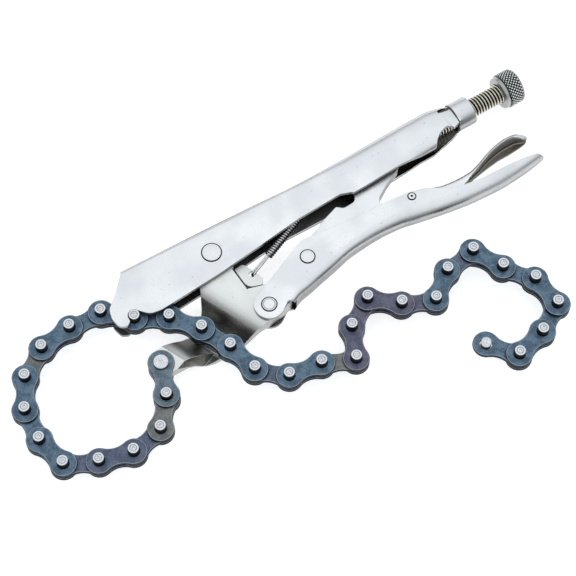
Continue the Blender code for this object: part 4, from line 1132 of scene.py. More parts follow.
@dataclass
class LowerJaw(SheetPiece):
    """The lower jaw: sheet that dips under the chain and rises again to the chain's anchor."""

    length: float = 30 * MM
    depth: float = 46 * MM
    half: float = 3.7 * MM
    flange: float = 1.7 * MM
    valley_wall: float = 2.0 * MM
    valley: Point = (-19.35 * MM, -36.3 * MM)
    heading: float = -65.5
    valley_reach: float = 25 * MM
    stack_half: float = 2.7 * MM
    mid_height: float = 9.2 * MM
    anchor: Point = (-47.2 * MM, -34.9 * MM)
    anchor_radius: float = 2.8 * MM
    lip: Corner = (-36.0 * MM, -38.7 * MM, 2.7 * MM)
    lip_normal: Corner = (0.31, -0.82, 0.475)
    lip_reach: float = 24 * MM
    tab_top: float = 1.1 * MM
    tab_sheet: float = 1.5 * MM
    tab_hole: Point = (11.4 * MM, -17.3 * MM)
    tab_hole_radius: float = 1.5 * MM
    tab_reach: float = 13 * MM
    tab_line: tuple[Point, ...] = ((0.170, -0.262), (0.190, -0.500), (0.445, -0.550))
    line_half: float = 0.75 * MM
    line_depth: float = 0.5 * MM
    outline: tuple[Corner, ...] = (
        (-0.26, 0.18, 0.1), (-0.3, 0, 0.15), (-0.44, -0.256, 0.2), (-0.57, -0.42, 0.2), (-0.78, -0.56, 0.2),
        (-1.08, -0.6, 0.2), (-1.4, -0.6, 0.3), (-1.74, -0.63, 0.12), (-1.75, -0.89, 0.12), (-1.4, -0.895, 0.15),
        (-1.12, -0.9, 0.2), (-0.82, -0.95, 0.3), (-0.2, -0.935, 0.3), (0.16, -0.927, 0.2), (0.42, -0.908, 0.1),
        (0.6, -0.875, 0.05), (0.69, -0.84, 0.03), (0.62, -0.78, 0.05), (0.48, -0.56, 0.2), (0.19, -0.5, 0.1),
        (0.17, -0.24, 0.1), (0.29, -0.06, 0.15), (0.3, 0.18, 0.2), (0, 0.215, 0.2),
    )  # fmt: skip
    profile: tuple[Corner, ...] = (
        (-0.9, 1, -1), (-0.72, 1, -1), (-0.68, 0.92, -0.88), (-0.56, 0.62, -0.55), (-0.44, 0.2, -0.16),
        (-0.32, -0.3, -0.04), (-0.22, -0.68, 0), (-0.14, -1, 0), (0, -1, 0), (0.14, -1, 0), (0.22, -0.92, 0),
        (0.3, -0.72, -0.08), (0.38, -0.36, -0.28), (0.46, 0.08, -0.55), (0.54, 0.44, -0.82), (0.64, 0.75, -1),
        (0.76, 0.93, -1), (0.92, 1, -1),
    )  # fmt: skip
    slot: tuple[Corner, ...] = (
        (-0.433, 0.283, 0), (-0.117, -0.5, 0), (0.167, -0.909, 0), (0.42, -0.891, 0), (0.4, -0.6, 0),
        (1, -0.4, 0), (1, 0.283, 0),
    )  # fmt: skip
    tab: tuple[Corner, ...] = (
        (0.1, -0.25, 0), (0.345, -0.225, 0.05), (0.49, -0.465, 0.05), (0.43, -0.53, 0.05), (0.17, -0.53, 0),
    )  # fmt: skip

    def faces(self) -> list[Row]:
        """The near and far faces' heights across the valley, smoothed."""
        floor = -self.mid_height + self.valley_wall
        rows = []
        for at, up, down in self.profile:
            half = self.half if at > 0 else self.stack_half
            near = half + (up - 1) / 2 * (half - floor)
            rows.append((at * self.valley_reach, near, -self.mid_height - down * (self.mid_height - half)))
        return eased_rows(rows, 4)

    @staticmethod
    def height(distance: float, rows: Sequence[Row], column: int) -> float:
        """One face's height at a distance from the valley's centre line."""
        last = rows[0]
        for row in rows[1:]:
            if distance <= row[0]:
                share = max(0.0, (distance - last[0]) / (row[0] - last[0]))
                return last[column] + share * (row[column] - last[column])
            last = row
        return last[column]

    def pressed(self) -> Thing:
        """The jaw's blank, pressed down along the valley."""
        jaw = prism("lower_jaw_pressed", self.traced(self.outline), -self.half, self.half)
        turn = math.radians(self.heading)
        normal = Vector((-math.sin(turn), math.cos(turn), 0))
        centre = Vector((*self.valley, 0))
        rows = self.faces()
        body = bmesh.new()
        body.from_mesh(jaw.data)
        for row in rows:
            everything = list(body.verts) + list(body.edges) + list(body.faces)
            bmesh.ops.bisect_plane(body, geom=everything, plane_co=centre + normal * row[0], plane_no=normal)
        for vert in body.verts:
            distance = (vert.co - centre).dot(normal)
            vert.co.z = self.height(distance, rows, 1 if vert.co.z > 0 else 2)
        body.to_mesh(jaw.data)
        body.free()
        return jaw

    def lip_cutter(self) -> Thing:
        """A block whose one face is the slope of the jaw's lip."""
        half = self.lip_reach / 2
        cutter = block((-half, -half, 0), (half, half, self.lip_reach))
        turn = Vector(self.lip_normal).normalized().to_track_quat("Z", "Y").to_matrix().to_4x4()
        cutter.data.transform(Matrix.Translation(self.lip) @ turn)
        return cutter

    def spring_tab(self) -> Thing:
        """The sunk tab that holds the spring, joined to the near flange by a riser."""
        tab = prism("spring_tab", self.traced(self.tab), self.tab_top - self.tab_sheet, self.tab_top)
        (left, top, _), *_, (right, foot, _) = self.tab
        low = (left * self.length, foot * self.depth, self.tab_top - self.tab_sheet / 2)
        high = (right * self.length, top * self.depth, self.half - self.flange / 2)
        return combine(tab, block(low, high), "UNION")

    def shear_lines(self, jaw: Thing) -> None:
        """Cuts the two lines along which the tab is sheared from the near flange, as shallow steps."""
        spots = [Vector((u * self.length, v * self.depth)) for u, v in self.tab_line]
        for start, end in zip(spots, spots[1:]):
            along = (end - start).normalized() * self.line_half
            side = Vector((-along.y, along.x))
            first, last = start - along, end + along
            corners = [tuple(spot) for spot in (first - side, last - side, last + side, first + side)]
            cut(jaw, corners, self.half - self.line_depth, self.half + MARGIN)

    def beside_tab(self, spot: Vector, normal: Vector) -> bool:
        """Whether a face belongs to the sheared lines beside the tab, which get a painted shadow."""
        top = self.half - 0.02 * MM
        low = top - 1.1 * self.line_depth
        near = math.dist(spot.xy, self.tab_hole) < self.tab_reach
        return near and low < spot.z < top and (normal.z > 0.9 or abs(normal.z) < 0.3)

    def build(self, bench: Bench) -> None:
        """Presses, slots and bores the jaw."""
        jaw = combine(self.pressed(), self.lip_cutter(), "DIFFERENCE")
        inner = self.half - self.flange
        cut(jaw, self.traced(self.slot), -inner, inner)
        combine(jaw, self.spring_tab(), "UNION")
        bore(jaw, self.tab_hole, self.tab_hole_radius, -self.half)
        for rivet in (MAIN_RIVET, LEVER_RIVET):
            bore(jaw, rivet.spot, rivet.shank + rivet.clearance)
        bore(jaw, self.anchor, self.anchor_radius)
        self.shear_lines(jaw)
        # Painted shadow in the sheared lines beside the tab.
        mark_where(ease_edges(tidy(jaw), self.edge), self.beside_tab)
        bench.seat(jaw, "jaw", ["lower_jaw"], "nickel_plate", bench.finishes.satin)


@dataclass
class Lever(SheetPiece):
    """The lower handle: a channel folded along its underside and forked about the jaw."""

    length: float = 149 * MM
    depth: float = 24 * MM
    pivot: Point = LEVER_RIVET.spot
    edge: float = 0.16 * MM
    half: float = 6.0 * MM
    end_radius: float = 7.1 * MM
    fork_end: float = 21.2 * MM
    outline: tuple[Corner, ...] = (
        (0.198, 0.84, 0.1), (0.35, 0.745, 0.6), (0.416, 0.72, 0.6), (0.576, 0.64, 0.3), (0.624, 0.56, 0.3),
        (0.714, 0.24, 0.6), (0.8, 0.155, 0.6), (0.94, 0.115, 0.4), (1.008, 0.065, 0.15), (1.03, -0.05, 0.15),
        (1.024, -0.14, 0.1), (0.98, -0.4, 0.1), (0.074, -0.4, 0), (0.071, -0.16, 0.03), (0.056, -0.12, 0.05),
    )  # fmt: skip
    stations: tuple[Row, ...] = (
        (-0.06, -0.44, 1, 0.43), (0.046, -0.32, 1, 0.43), (0.076, -0.195, 1, 0.45), (0.107, -0.115, 1, 0.48),
        (0.143, -0.075, 1, 0.5), (0.191, -0.004, 1, 0.5), (0.238, 0.054, 1, 0.55), (0.33, 0.171, 1, 0.66),
        (0.416, 0.198, 1, 0.8), (0.497, 0.167, 1, 0.9), (0.549, 0.096, 1, 0.97), (0.66, -0.037, 1, 0.97),
        (0.756, -0.117, 1, 0.97), (0.856, -0.146, 1, 0.95), (0.94, -0.11, 0.97, 0.9), (0.992, -0.07, 0.86, 0.8),
        (1.022, -0.035, 0.62, 0.58), (1.038, 0.02, 0.4, 0.36),
    )  # fmt: skip

    def side(self) -> list[Point]:
        """The side outline: a round end about the pivot, then upper edge, tip and underside."""
        corners = self.shaped(self.outline)
        first, last = (Vector(corner[:2]) - Vector(self.pivot) for corner in (corners[0], corners[-1]))
        tangent = math.atan2(first.y, first.x) + math.acos(self.end_radius / first.length)
        leave = math.atan2(last.y, last.x) - math.acos(self.end_radius / last.length)
        end = arc(self.pivot, self.end_radius, leave + TURN, tangent, 32)
        return end + rounded(corners + [(*end[0], 0), (*end[-1], 0)])[:-2]

    def build(self, bench: Bench) -> None:
        """Folds, forks and bores the lever."""
        rows = [(x, y, w * self.half, r * self.half) for x, y, w, r in eased_rows(self.stations, 4)]
        lever = self.channel("lever_pressed", rows, 2, self.side())
        inner = self.half - self.wall
        low = (self.pivot[0] - self.length, self.pivot[1] - self.depth, -inner)
        combine(lever, block(low, (self.fork_end, self.pivot[1] + self.depth, inner)), "DIFFERENCE")
        for rivet in LEVER_RIVETS:
            rivet.cut_seats(lever)
        # Painted shade inside the folds and in the rivets' seats.
        shade_hollows(ease_edges(tidy(lever), self.edge), LEVER_RIVETS)
        bench.seat(lever, "lever", ["lever"], "nickel_plate", bench.finishes.nickel)


@dataclass
class ToggleLink(SheetPiece):
    """The toggle link: two cheeks joined along their lower edge, with a rounded nose at the screw."""

    length: float = 64.6 * MM
    depth: float = 20 * MM
    pivot: Point = LINK_RIVET.spot
    wall: float = 1.4 * MM
    half: float = 3.0 * MM
    end_radius: float = 6.0 * MM
    end_turns: Point = (1.45, 0.55)
    nose: Point = (95.0 * MM, 3.1 * MM)
    nose_radius: float = 4.0 * MM
    outline: tuple[Corner, ...] = (
        (0.227, 0.63, 0.03), (0.398, 0.815, 0.03), (0.445, 0.69, 0.15), (0.545, 0.71, 0.15), (0.565, 0.9, 0.03),
        (0.76, 1.34, 0.2), (0.87, 1.6, 0.1), (0.955, 1.56, 0.15), (0.968, 0.93, 0.1), (0.818, 0.705, 0.15),
        (0.708, 0.49, 0.15), (0.682, 0.32, 0.08), (0.725, 0.27, 0.05), (0.785, 0.25, 0.03),
        (0.782, 0.195, 0.03), (0.7, 0.1, 0.1), (0.6, 0, 0.2), (0.3, -0.12, 0.3),
    )  # fmt: skip
    hollow: tuple[Corner, ...] = (
        (-0.2, -0.6, 0), (0.3, -0.6, 0), (0.56, -0.12, 0.1), (0.64, 0.34, 0.1), (0.76, 0.78, 0.1),
        (0.8, 1.1, 0.1), (0.7, 1.8, 0), (-0.2, 1.8, 0),
    )  # fmt: skip

    def build(self, bench: Bench) -> None:
        """Presses and bores the link."""
        heading = math.atan2(self.nose[1] - self.pivot[1], self.nose[0] - self.pivot[0])
        start, stop = (heading + math.pi * share for share in self.end_turns)
        outline = arc(self.pivot, self.end_radius, start, stop, 24) + self.traced(self.outline)
        link = prism("toggle_link_pressed", outline, -self.half, self.half)
        combine(link, prism("nose", circle(self.nose, self.nose_radius), -self.half, self.half), "UNION")
        inner = self.half - self.wall
        cut(link, self.traced(self.hollow), -inner, inner)
        reach = self.half + MARGIN / 2
        bore(link, self.pivot, LINK_RIVET.shank + RUNNING_FIT, -reach, reach)
        # Painted shade inside the folds.
        shade_hollows(ease_edges(tidy(link), self.edge))
        bench.seat(link, "toggle", ["toggle_link"], "nickel_plate", bench.finishes.link)


@dataclass
class ReleaseLever(SheetPiece):
    """The release lever: a folded leaf on its pin inside the lever."""

    length: float = 66 * MM
    depth: float = 8 * MM
    pivot: Point = RELEASE_PIN.spot
    wall: float = 1.2 * MM
    half: float = 3.7 * MM
    leaf_half: float = 5.5 * MM
    outline: tuple[Corner, ...] = (
        (-0.118, 0.175, 0.1), (-0.07, 0.5, 0.05), (0.03, 0.5, 0.3), (0.5, 0.5, 0), (0.76, 0.7, 0),
        (0.9, 0.7, 0.3), (0.99, 0.34, 0.3), (1.006, 0.025, 0.15), (0.985, -0.13, 0.15), (0.909, -0.14, 0.4),
        (0.742, -0.16, 0.6), (0.636, -0.29, 0.6), (0.5, -0.51, 0.6), (0.379, -0.84, 0.6), (0.273, -0.95, 0.3),
        (0.076, -0.525, 0.3), (-0.06, -0.36, 0.2), (-0.124, -0.075, 0.1),
    )  # fmt: skip
    stations: tuple[Row, ...] = (
        (-0.14, 0.33, 0, 0.4), (-0.05, 0.35, 0, 0.4), (0.03, 0.34, 0, 0.45), (0.15, 0.11, 0, 0.5),
        (0.26, -0.15, 0, 0.6), (0.373, -0.225, 0, 0.7), (0.46, -0.24, 0.1, 0.6), (0.561, -0.085, 0.35, 0.45),
        (0.636, 0.15, 0.6, 0.4), (0.742, 0.39, 0.9, 0.38), (0.833, 0.49, 1, 0.38), (0.909, 0.46, 0.72, 0.42),
        (0.97, 0.25, 0.1, 0.6), (1.01, 0, -0.8, 0.8),
    )  # fmt: skip
    near_relief: tuple[Corner, ...] = (
        (0.4, -1.2, 0), (0.44, -0.64, 0.1), (0.52, -0.4, 0.2), (0.6, -0.16, 0.2), (0.68, 0.06, 0.2),
        (0.76, 0.21, 0.2), (0.84, 0.28, 0.2), (0.885, 0.24, 0.2), (0.92, 0.1, 0.2), (0.95, -0.14, 0.1),
        (0.96, -1.2, 0),
    )  # fmt: skip

    def build(self, bench: Bench) -> None:
        """Folds and bores the leaf."""
        rows = []
        for x, y, w, r in eased_rows(self.stations, 5):
            half = self.half + w * (self.leaf_half - self.half)
            rows.append((x, y, half, r * half))
        leaf = self.channel("release_lever_pressed", rows, -2, self.traced(self.outline))
        cut(leaf, self.traced(self.near_relief), 0, 2 * self.leaf_half)
        bore(leaf, self.pivot, RELEASE_PIN.shank + RUNNING_FIT)
        # Painted shade inside the folds.
        shade_hollows(ease_edges(tidy(leaf), self.edge))
        bench.seat(leaf, "release", ["release_lever"], "nickel_plate", bench.finishes.leaf)


@dataclass
class AdjustingScrew:
    """The adjusting screw: a plain tip and shank, then a rolled thread up to the knob."""

    axis_y: float = 3.8 * MM
    radius: float = 4.76 * MM
    pitch: float = 1.5875 * MM
    thread_depth: float = 0.8 * MM
    tip_x: float = 99.4 * MM
    tip_ease: float = 0.8 * MM
    thread_x: float = 123.0 * MM
    knob_x: float = 163.5 * MM
    end_x: float = 170.0 * MM
    columns: int = 40
    rows_per_turn: int = 10
    # The plain shank's level on the thread's scale, which paints it as dark as the roots.
    shank_level: float = 0.4
    smooth_under: float = 60.0

    def crest(self, x: float, angle: float) -> float:
        """How near a place on the thread is to its crest, from 0 at the root to 1."""
        phase = (x / self.pitch - angle / TURN) % 1
        return min(1.0, max(0.0, 1.25 - 1.4 * abs(2 * phase - 1)))

    def build(self, bench: Bench) -> None:
        """Winds the screw as one grid about its axis."""
        step = self.pitch / self.rows_per_turn
        core = self.radius - self.thread_depth
        angles = [TURN * column / self.columns for column in range(self.columns)]
        turns = int((self.knob_x - self.thread_x) / step) + 1
        plain = [core] * self.columns
        rows = [(self.tip_x, [core - self.tip_ease] * self.columns), (self.tip_x + self.tip_ease, plain)]
        rows.append((self.thread_x - step, plain))
        first = len(rows)
        for index in range(turns):
            x = self.thread_x + index * step
            grow = min(1.0, index / (1.5 * self.rows_per_turn))
            rows.append((x, [core + self.thread_depth * grow * self.crest(x, a) for a in angles]))
        rows += [(self.knob_x + step, plain), (self.end_x, plain)]
        loops = [[(x, r * math.cos(a), r * math.sin(a)) for r, a in zip(reach, angles)] for x, reach in rows]

        def light_and_wear_mark(band: int, index: int, face: bmesh.types.BMFace) -> float:
            """A painted highlight on the crests and painted shade in the roots along the thread, and set levels
            on the plain metal before and after it.
            """
            if first <= band < first + turns:
                return self.crest(face.verts[0].co.x + step / 2, angles[index])
            return self.shank_level if band < first else 0.0

        made = smooth(banded("adjusting_screw_rolled", loops, light_and_wear_mark), self.smooth_under)
        made.data.transform(Matrix.Translation((0, self.axis_y, 0)))
        bench.seat(made, "screw", ["adjusting_screw"], "yellow_zinc", bench.finishes.zinc)


@dataclass
class Knob:
    """The screw's round knob: a plain flange, then a grip with a diamond knurl."""

    axis: Matrix
    flange_x: float = 163.5 * MM
    flange: float = 2.0 * MM
    flange_radius: float = 8.0 * MM
    flange_ease: float = 0.25 * MM
    length: float = 8.0 * MM
    radius: float = 8.8 * MM
    ease: float = 0.9 * MM
    bore_radius: float = 5.06 * MM
    bore_end: float = 170.3 * MM
    teeth: int = 31
    columns_per_tooth: int = 8
    rows: int = 44
    knurl_depth: float = 0.50 * MM
    # The plain parts' level on the knurl's scale, between the grooves' painted shade and the points' painted
    # highlight.
    plain_level: float = 0.56
    smooth_under: float = 40.0

    def knurl(self, x: float, angle: float) -> float:
        """The knurl's height at a place, from 0 in a groove to 1 on a point."""
        around = angle * self.teeth / TURN
        along = x * self.teeth / (TURN * self.radius)
        first, second = (abs(2 * (place % 1) - 1) for place in (around + along, around - along))
        return min(1.0, 1.35 * min(first, second))

    def build(self, bench: Bench) -> None:
        """Turns and knurls the knob."""
        start, ease = self.flange_x + self.flange, self.flange_ease
        end = start + self.length
        count = self.teeth * self.columns_per_tooth
        angles = [TURN * column / count for column in range(count)]
        rows = [(self.bore_radius, self.bore_end), (self.bore_radius, self.flange_x)]
        rows += [(self.flange_radius - ease, self.flange_x), (self.flange_radius, self.flange_x + ease)]
        rows += [(self.flange_radius, start - ease), (self.flange_radius - ease, start)]
        rows = [([radius] * count, x) for radius, x in rows]
        first = len(rows) + 1
        for row in range(self.rows + 1):
            x = start + (self.length - self.ease) * row / self.rows
            rise = min(1.0, row / 3)
            rows.append(([self.radius - self.knurl_depth * (1 - rise * self.knurl(x, a)) for a in angles], x))
        rows += [([self.radius - self.ease * share] * count, end) for share in (1, 2)]
        loops = [[(r * math.cos(a), r * math.sin(a), x) for r, a in zip(reach, angles)] for reach, x in rows]

        def light_and_wear_mark(band: int, _: int, face: bmesh.types.BMFace) -> float:
            """A painted highlight on the points and painted shade in the grooves of the grip, and a set level on
            the plain metal elsewhere.
            """
            if not first <= band < first + self.rows:
                return self.plain_level
            reach = sum(vert.co.xy.length for vert in face.verts) / len(face.verts)
            return min(1.0, max(0.0, (reach - self.radius) / self.knurl_depth + 1))

        loops = [[(0, 0, self.bore_end)], *loops, [(0, 0, end)]]
        made = smooth(banded("screw_knob_knurled", loops, light_and_wear_mark), self.smooth_under)
        made.data.transform(self.axis)
        bench.seat(made, "knob", ["screw_knob"], "nickel_plate", bench.finishes.knurled)


@dataclass
class ReturnSpring:
    """The return spring: a close coil with long leads, hooked into the jaw's tab and the handle's tab."""

    start: Corner = (11.4 * MM, -17.3 * MM, 0.0)
    end: Corner = (58.7 * MM, 2.2 * MM, 0.0)
    radius: float = 1.85 * MM
    wire: float = 0.44 * MM
    turns: int = 22
    pitch: float = 1.30 * MM
    points_per_turn: int = 20
    lead: float = 12.5 * MM
    drop: float = 2.2 * MM
    hook_gap: float = 0.95 * MM
    smooth_under: float = 60.0

    def routes(self) -> tuple[list[Vector], list[Vector]]:
        """The wire's points from hook to hook, and those of its end, laid back along the hook to the coil."""
        start, up, radius = Vector(self.start), Vector((0, 0, 1)), self.radius
        along = (Vector(self.end) - start).normalized()
        side = along.cross(up)
        main = [start - up * self.drop / 2, start + up * radius / 2, start + up * radius + along * radius / 2]
        for index in range(self.turns * self.points_per_turn + 1):
            angle = TURN * index / self.points_per_turn
            distance = self.lead + self.pitch * index / self.points_per_turn
            main.append(start + along * distance + radius * (up * math.cos(angle) + side * math.sin(angle)))
        coil_end = self.lead + self.turns * self.pitch
        main += [start + along * (coil_end + radius) + up * radius / 2, start + along * (coil_end + 2 * radius)]
        side = side * self.hook_gap
        hook = [start - up * self.drop / 2 + side * 0.4, start + up * radius / 2 + side * 0.7]
        hook.append(start + up * radius * 0.8 + along * radius / 2 + side)
        hook.append(start + up * radius * 0.8 + along * (self.lead - 1 * MM) + side)
        hook.append(start + along * self.lead + side + up * radius * 0.3)
        return main + [Vector(self.end)], hook

    def build(self, bench: Bench) -> None:
        """Sweeps the wire along its route, and the hook's doubled end beside it."""
        curve = bpy.data.curves.new("return_spring_wire", "CURVE")
        curve.dimensions = "3D"
        curve.bevel_depth = self.wire
        curve.bevel_resolution = 3
        curve.use_fill_caps = True
        for points in self.routes():
            spline = curve.splines.new("POLY")
            spline.points.add(len(points) - 1)
            for point, spot in zip(spline.points, points):
                point.co = (*spot, 1)
        swept = put("return_spring_route", curve)
        made = smooth(put("return_spring_wound", evaluated(swept)), self.smooth_under)
        bpy.data.objects.remove(swept)
        bench.seat(made, "jaw", ["return_spring"], "spring_steel", bench.finishes.wire)


@dataclass
class LeafChain:
    """The leaf chain: blued plates on bright pins that stand proud of them, from the anchor to its tail."""

    anchor: Point = (-47.2 * MM, -34.9 * MM)
    pitch: float = 15.875 * MM
    end_radius: float = 6.2 * MM
    waist: float = 4.1 * MM
    outer_low: float = 1.4 * MM
    outer_high: float = 2.7 * MM
    inner_half: float = 1.1 * MM
    pin_radius: float = 2.54 * MM
    pin_half: float = 6.9 * MM
    anchor_low: float = 3.0 * MM
    anchor_high: float = 4.2 * MM
    anchor_hole: float = 2.8 * MM
    edge: float = 0.46 * MM
    edge_spans: int = 3
    # Flat-lying eased edges of the plates are marked rubbed with a painted highlight; sloped ones get painted
    # shade.
    edge_facing: float = 0.85
    edge_slope: float = -1.0
    end_steps: int = 28
    waist_steps: int = 10
    headings: tuple[float, ...] = (
        -111, -129.5, -168.5, 165, 153, 103, 85.5, 61.5, 33.5, 8.5, -3, -42.5, -30, -51.5, -65.5, -76.5,
        -43, -8.5, -23.5, 65, 31, -40.5, -24, 37, 8.5, -63, -54, -84.5, -150, -166, 127,
    )  # fmt: skip
    tint_runs: tuple[tuple[LinkTint, int], ...] = (
        (LinkTint.TEAL, 1), (LinkTint.STONE, 1), (LinkTint.VIOLET, 3), (LinkTint.BLUE, 3), (LinkTint.STONE, 1),
        (LinkTint.BLUE, 7), (LinkTint.VIOLET, 1), (LinkTint.BLUE, 1), (LinkTint.STONE, 1), (LinkTint.BROWN, 4),
        (LinkTint.BLUE, 1), (LinkTint.VIOLET, 1), (LinkTint.BLUE, 6),
    )  # fmt: skip

    def plate(self, name: str, low: float, high: float, holes: Sequence[float] = ()) -> Thing:
        """One plate from pin to pin: round ends and a waist of concave arcs.

        Args:
            name: The object's name.
            low: Its lower face.
            high: Its upper face.
            holes: The radii of the holes at its two ends, if it has them.

        Returns:
            The plate with eased edges.
        """
        middle, radius, waist = self.pitch / 2, self.end_radius, self.waist
        rise = (middle**2 + waist**2 - radius**2) / (2 * (radius - waist))
        lean = math.atan2(waist + rise, middle)
        points = arc((0, 0), radius, lean, TURN - lean, self.end_steps)
        points += arc((middle, -waist - rise), rise, math.pi - lean, lean, self.waist_steps)[1:-1]
        points += arc((self.pitch, 0), radius, lean - math.pi, math.pi - lean, self.end_steps)
        points += arc((middle, waist + rise), rise, -lean, lean - math.pi, self.waist_steps)[1:-1]
        made = prism(name, points, low, high)
        for x, hole in zip((0, self.pitch), holes):
            bore(made, (x, 0), hole, low - MARGIN, high + MARGIN)
        return ease_edges(made, self.edge, self.edge_spans, self.edge_facing, self.edge_slope)

    def pin(self, x: float) -> Thing:
        """A pin with chamfered ends and a ring and a centre mark on each end, with painted shade round its foot,
        in the ring and in the centre mark, and a painted highlight on the chamfer and the end's outer band.
        """
        half, r, foot, shade_ring = self.pin_half, self.pin_radius, self.outer_high, 0.3 * MM
        near = [(r, foot - 0.1 * MM, 0.0), (r + shade_ring, foot - 0.1 * MM, 0.0)]
        near += [(r + shade_ring, foot + 0.03 * MM, -1.0), (r, foot + 0.05 * MM, 0.0)]
        near += [(r, half - 0.35 * MM, 1.0), (r - 0.12 * MM, half - 0.1 * MM, 1.0)]
        near += [(r - 0.4 * MM, half, 1.0), (1.70 * MM, half, -0.55), (1.35 * MM, half - 0.06 * MM, -0.1)]
        near += [(1.0 * MM, half, -0.1), (0.5 * MM, half, -0.6), (0.42 * MM, half - 0.18 * MM, 0.0)]
        return two_ended("pin", near + [(0.0, half - 0.24 * MM, 0.0)], 40, (x, 0, 0))

    def outer_link(self, finishes: Finishes) -> Thing:
        """Two plates pressed on two pins."""
        parts = [self.plate("near", self.outer_low, self.outer_high)]
        parts.append(self.plate("far", -self.outer_high, -self.outer_low))
        for plate in parts:
            dress(plate, finishes.tints[LinkTint.BLUE])
        parts += [dress(self.pin(x), finishes.steel) for x in (0.0, self.pitch)]
        return join("outer_link_master", parts)

    def inner_link(self, finishes: Finishes) -> Thing:
        """The inner plates as one block, with a running hole for each pin."""
        hole = self.pin_radius + RUNNING_FIT
        made = self.plate("inner_link_master", -self.inner_half, self.inner_half, (hole, hole))
        return dress(made, finishes.tints[LinkTint.BLUE])

    def build(self, bench: Bench) -> None:
        """Lays every link along its heading from the anchor."""
        finishes = bench.finishes
        masters = {"inner": self.inner_link(finishes), "outer": self.outer_link(finishes)}
        tints = [finishes.tints[tint] for tint, count in self.tint_runs for _ in range(count)]
        spot = Vector((*self.anchor, 0))
        for number, (heading, tint) in enumerate(zip(self.headings, tints), 1):
            turn = Matrix.Translation(spot) @ Matrix.Rotation(math.radians(heading), 4, "Z")
            if number == 1:
                self.lay_anchor(turn, tint, bench)
            else:
                body, kind = f"link_{number:02d}", ("outer", "inner")[number % 2]
                made = put(f"{body}_blued", masters[kind].data.copy())
                made.data.materials[0] = tint
                made.data.transform(turn)
                bench.seat(made, body, [f"{kind}_link_{number:02d}"], "blued_steel", None)
            spot += self.pitch * Vector((math.cos(math.radians(heading)), math.sin(math.radians(heading)), 0))
        self.lay_tail(spot, bench)
        for master in masters.values():
            bpy.data.objects.remove(master)

    def lay_anchor(self, turn: Matrix, tint: Material, bench: Bench) -> None:
        """Lays the anchor link: two plates outside the jaw's tongue, and the rivet that holds them to it."""
        holes = (self.anchor_hole, self.pin_radius + RUNNING_FIT)
        low, high = self.anchor_low, self.anchor_high
        for side, ends in (("near", (low, high)), ("far", (-high, -low))):
            plate = self.plate(f"anchor_plate_{side}_blued", *ends, holes)
            plate.data.transform(turn)
            bench.seat(plate, "link_01", [f"anchor_plate_{side}"], "blued_steel", tint)
        under = high + RUNNING_FIT
        top = under + 0.8 * MM
        radius, shank, ease = 3.5 * MM, 2.5 * MM, 0.25 * MM
        # The rivet's eased rim gets a painted highlight.
        near = [(shank, under, 0.0), (radius, under, 0.0), (radius, top - ease, 1.0), (radius - ease, top, 0.2)]
        near += [(0.75 * MM, top, 0.0), (0.6 * MM, top - 0.2 * MM, 0.0), (0.0, top - 0.25 * MM, 0.0)]
        rivet = two_ended("anchor_rivet_turned", near)
        rivet.data.transform(turn)
        bench.seat(rivet, "link_01", ["anchor_rivet"], "bright_rivet", bench.finishes.steel)

    def lay_tail(self, spot: Vector, bench: Bench) -> None:
        """Lays the flush rivet in the chain's last link."""
        half, r = self.outer_high, self.pin_radius
        # The chamfer gets a painted highlight.
        near = [(r, half - 0.3 * MM, 1.0), (r - 0.3 * MM, half, 0.0), (0.5 * MM, half, 0.0)]
        rivet = two_ended("chain_end_rivet_turned", near + [(0.0, half - 0.2 * MM, 0.0)], spot=spot)
        bench.seat(rivet, "link_31", ["chain_end_rivet"], "bright_rivet", bench.finishes.steel)


@dataclass(frozen=True)
class Softbox:
    """A soft lamp, placed from the middle of the clamp."""

    name: str
    place: Corner
    size: float
    watts: float

    def hang(self, target: Corner) -> None:
        """Hangs the lamp and aims it at the clamp."""
        lamp = bpy.data.lights.new(self.name, "AREA")
        lamp.energy = self.watts
        lamp.size = self.size
        made = put(self.name, lamp)
        made.location = Vector(target) + Vector(self.place)
        made.rotation_euler = (-Vector(self.place)).to_track_quat("-Z", "Y").to_euler()


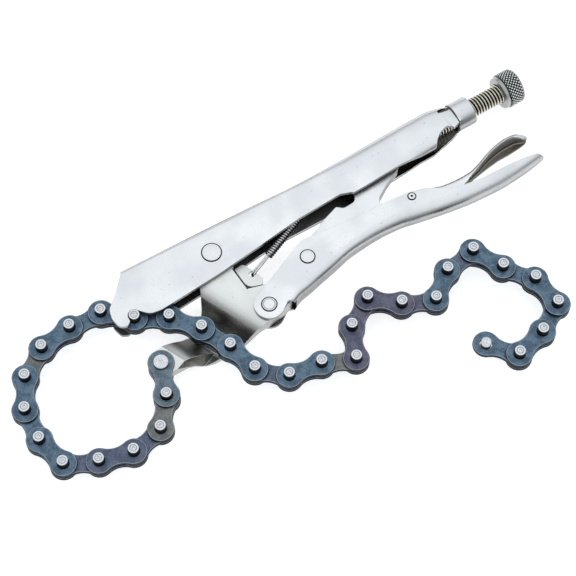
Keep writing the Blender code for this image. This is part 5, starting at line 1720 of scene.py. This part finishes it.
@dataclass
class Studio:
    """A pale floor, a soft sky and the camera at the photograph's angle."""

    camera: Corner = (-0.20791, -0.30763, 0.8302)
    target: Corner = (-0.00741, 0.01947, 0.0161)
    lens: float = 122.8
    sensor: float = 36.0
    clip_start: float = 0.01
    floor_reach: float = 6.0
    floor_drop: float = 0.2 * MM
    horizon: Colour = (0.26, 0.27, 0.28)
    overhead: Colour = (0.90, 0.935, 0.97)
    overhead_height: float = 0.62
    softboxes: tuple[Softbox, ...] = (Softbox("mirror_softbox", (0.20, 0.34, 0.83), 0.22, 0.05),)

    def lay_floor(self) -> None:
        """Lays the floor just under the clamp."""
        reach = self.floor_reach
        body = bmesh.new()
        spots = ((-reach, -reach), (reach, -reach), (reach, reach), (-reach, reach))
        body.faces.new([body.verts.new((x, y, -self.floor_drop)) for x, y in spots])
        floor = as_object("pale_floor", body)
        floor.data.materials.append(PaleFloor().make())

    def hang_sky(self) -> None:
        """Hangs a sky that is white overhead and grey at the horizon."""
        world = bpy.data.worlds.new("soft_sky")
        world.use_nodes = True
        tree = world.node_tree
        where = tree.nodes.new("ShaderNodeTexCoord")
        split = tree.nodes.new("ShaderNodeSeparateXYZ")
        ramp = tree.nodes.new("ShaderNodeValToRGB")
        low, high = ramp.color_ramp.elements
        low.position, low.color = 0.0, (*self.horizon, 1)
        high.position, high.color = self.overhead_height, (*self.overhead, 1)
        tree.links.new(where.outputs["Generated"], split.inputs[0])
        tree.links.new(split.outputs["Z"], ramp.inputs[0])
        tree.links.new(ramp.outputs[0], tree.nodes["Background"].inputs[0])
        bpy.context.scene.world = world

    def place_camera(self) -> None:
        """Places the camera."""
        lens = bpy.data.cameras.new("photo_camera")
        lens.lens = self.lens
        lens.sensor_width = self.sensor
        lens.clip_start = self.clip_start
        made = put("photo_camera", lens)
        made.location = self.camera
        aim = Vector(self.target) - Vector(self.camera)
        made.rotation_euler = aim.to_track_quat("-Z", "Y").to_euler()
        bpy.context.scene.camera = made

    def build(self) -> None:
        """Sets the studio up."""
        self.lay_floor()
        self.hang_sky()
        for softbox in self.softboxes:
            softbox.hang(self.target)
        self.place_camera()
        bpy.context.scene.view_settings.view_transform = "Standard"


def main() -> None:
    """Builds the studio and every piece of the clamp."""
    logging.basicConfig(level=logging.INFO, format="%(name)s: %(message)s")
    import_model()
    Studio().build()
    bench = Bench()
    handle = UpperHandle()
    pieces = [handle, LowerJaw(), Lever(), ToggleLink(), ReleaseLever(), AdjustingScrew(), Knob(handle.axis)]
    pieces += [ReturnSpring(), MAIN_RIVET, *LEVER_RIVETS, LeafChain()]
    for piece in pieces:
        piece.build(bench)
    LOG.info("%d pieces", bench.count)
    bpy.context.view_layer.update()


if __name__ == "__main__":
    main()
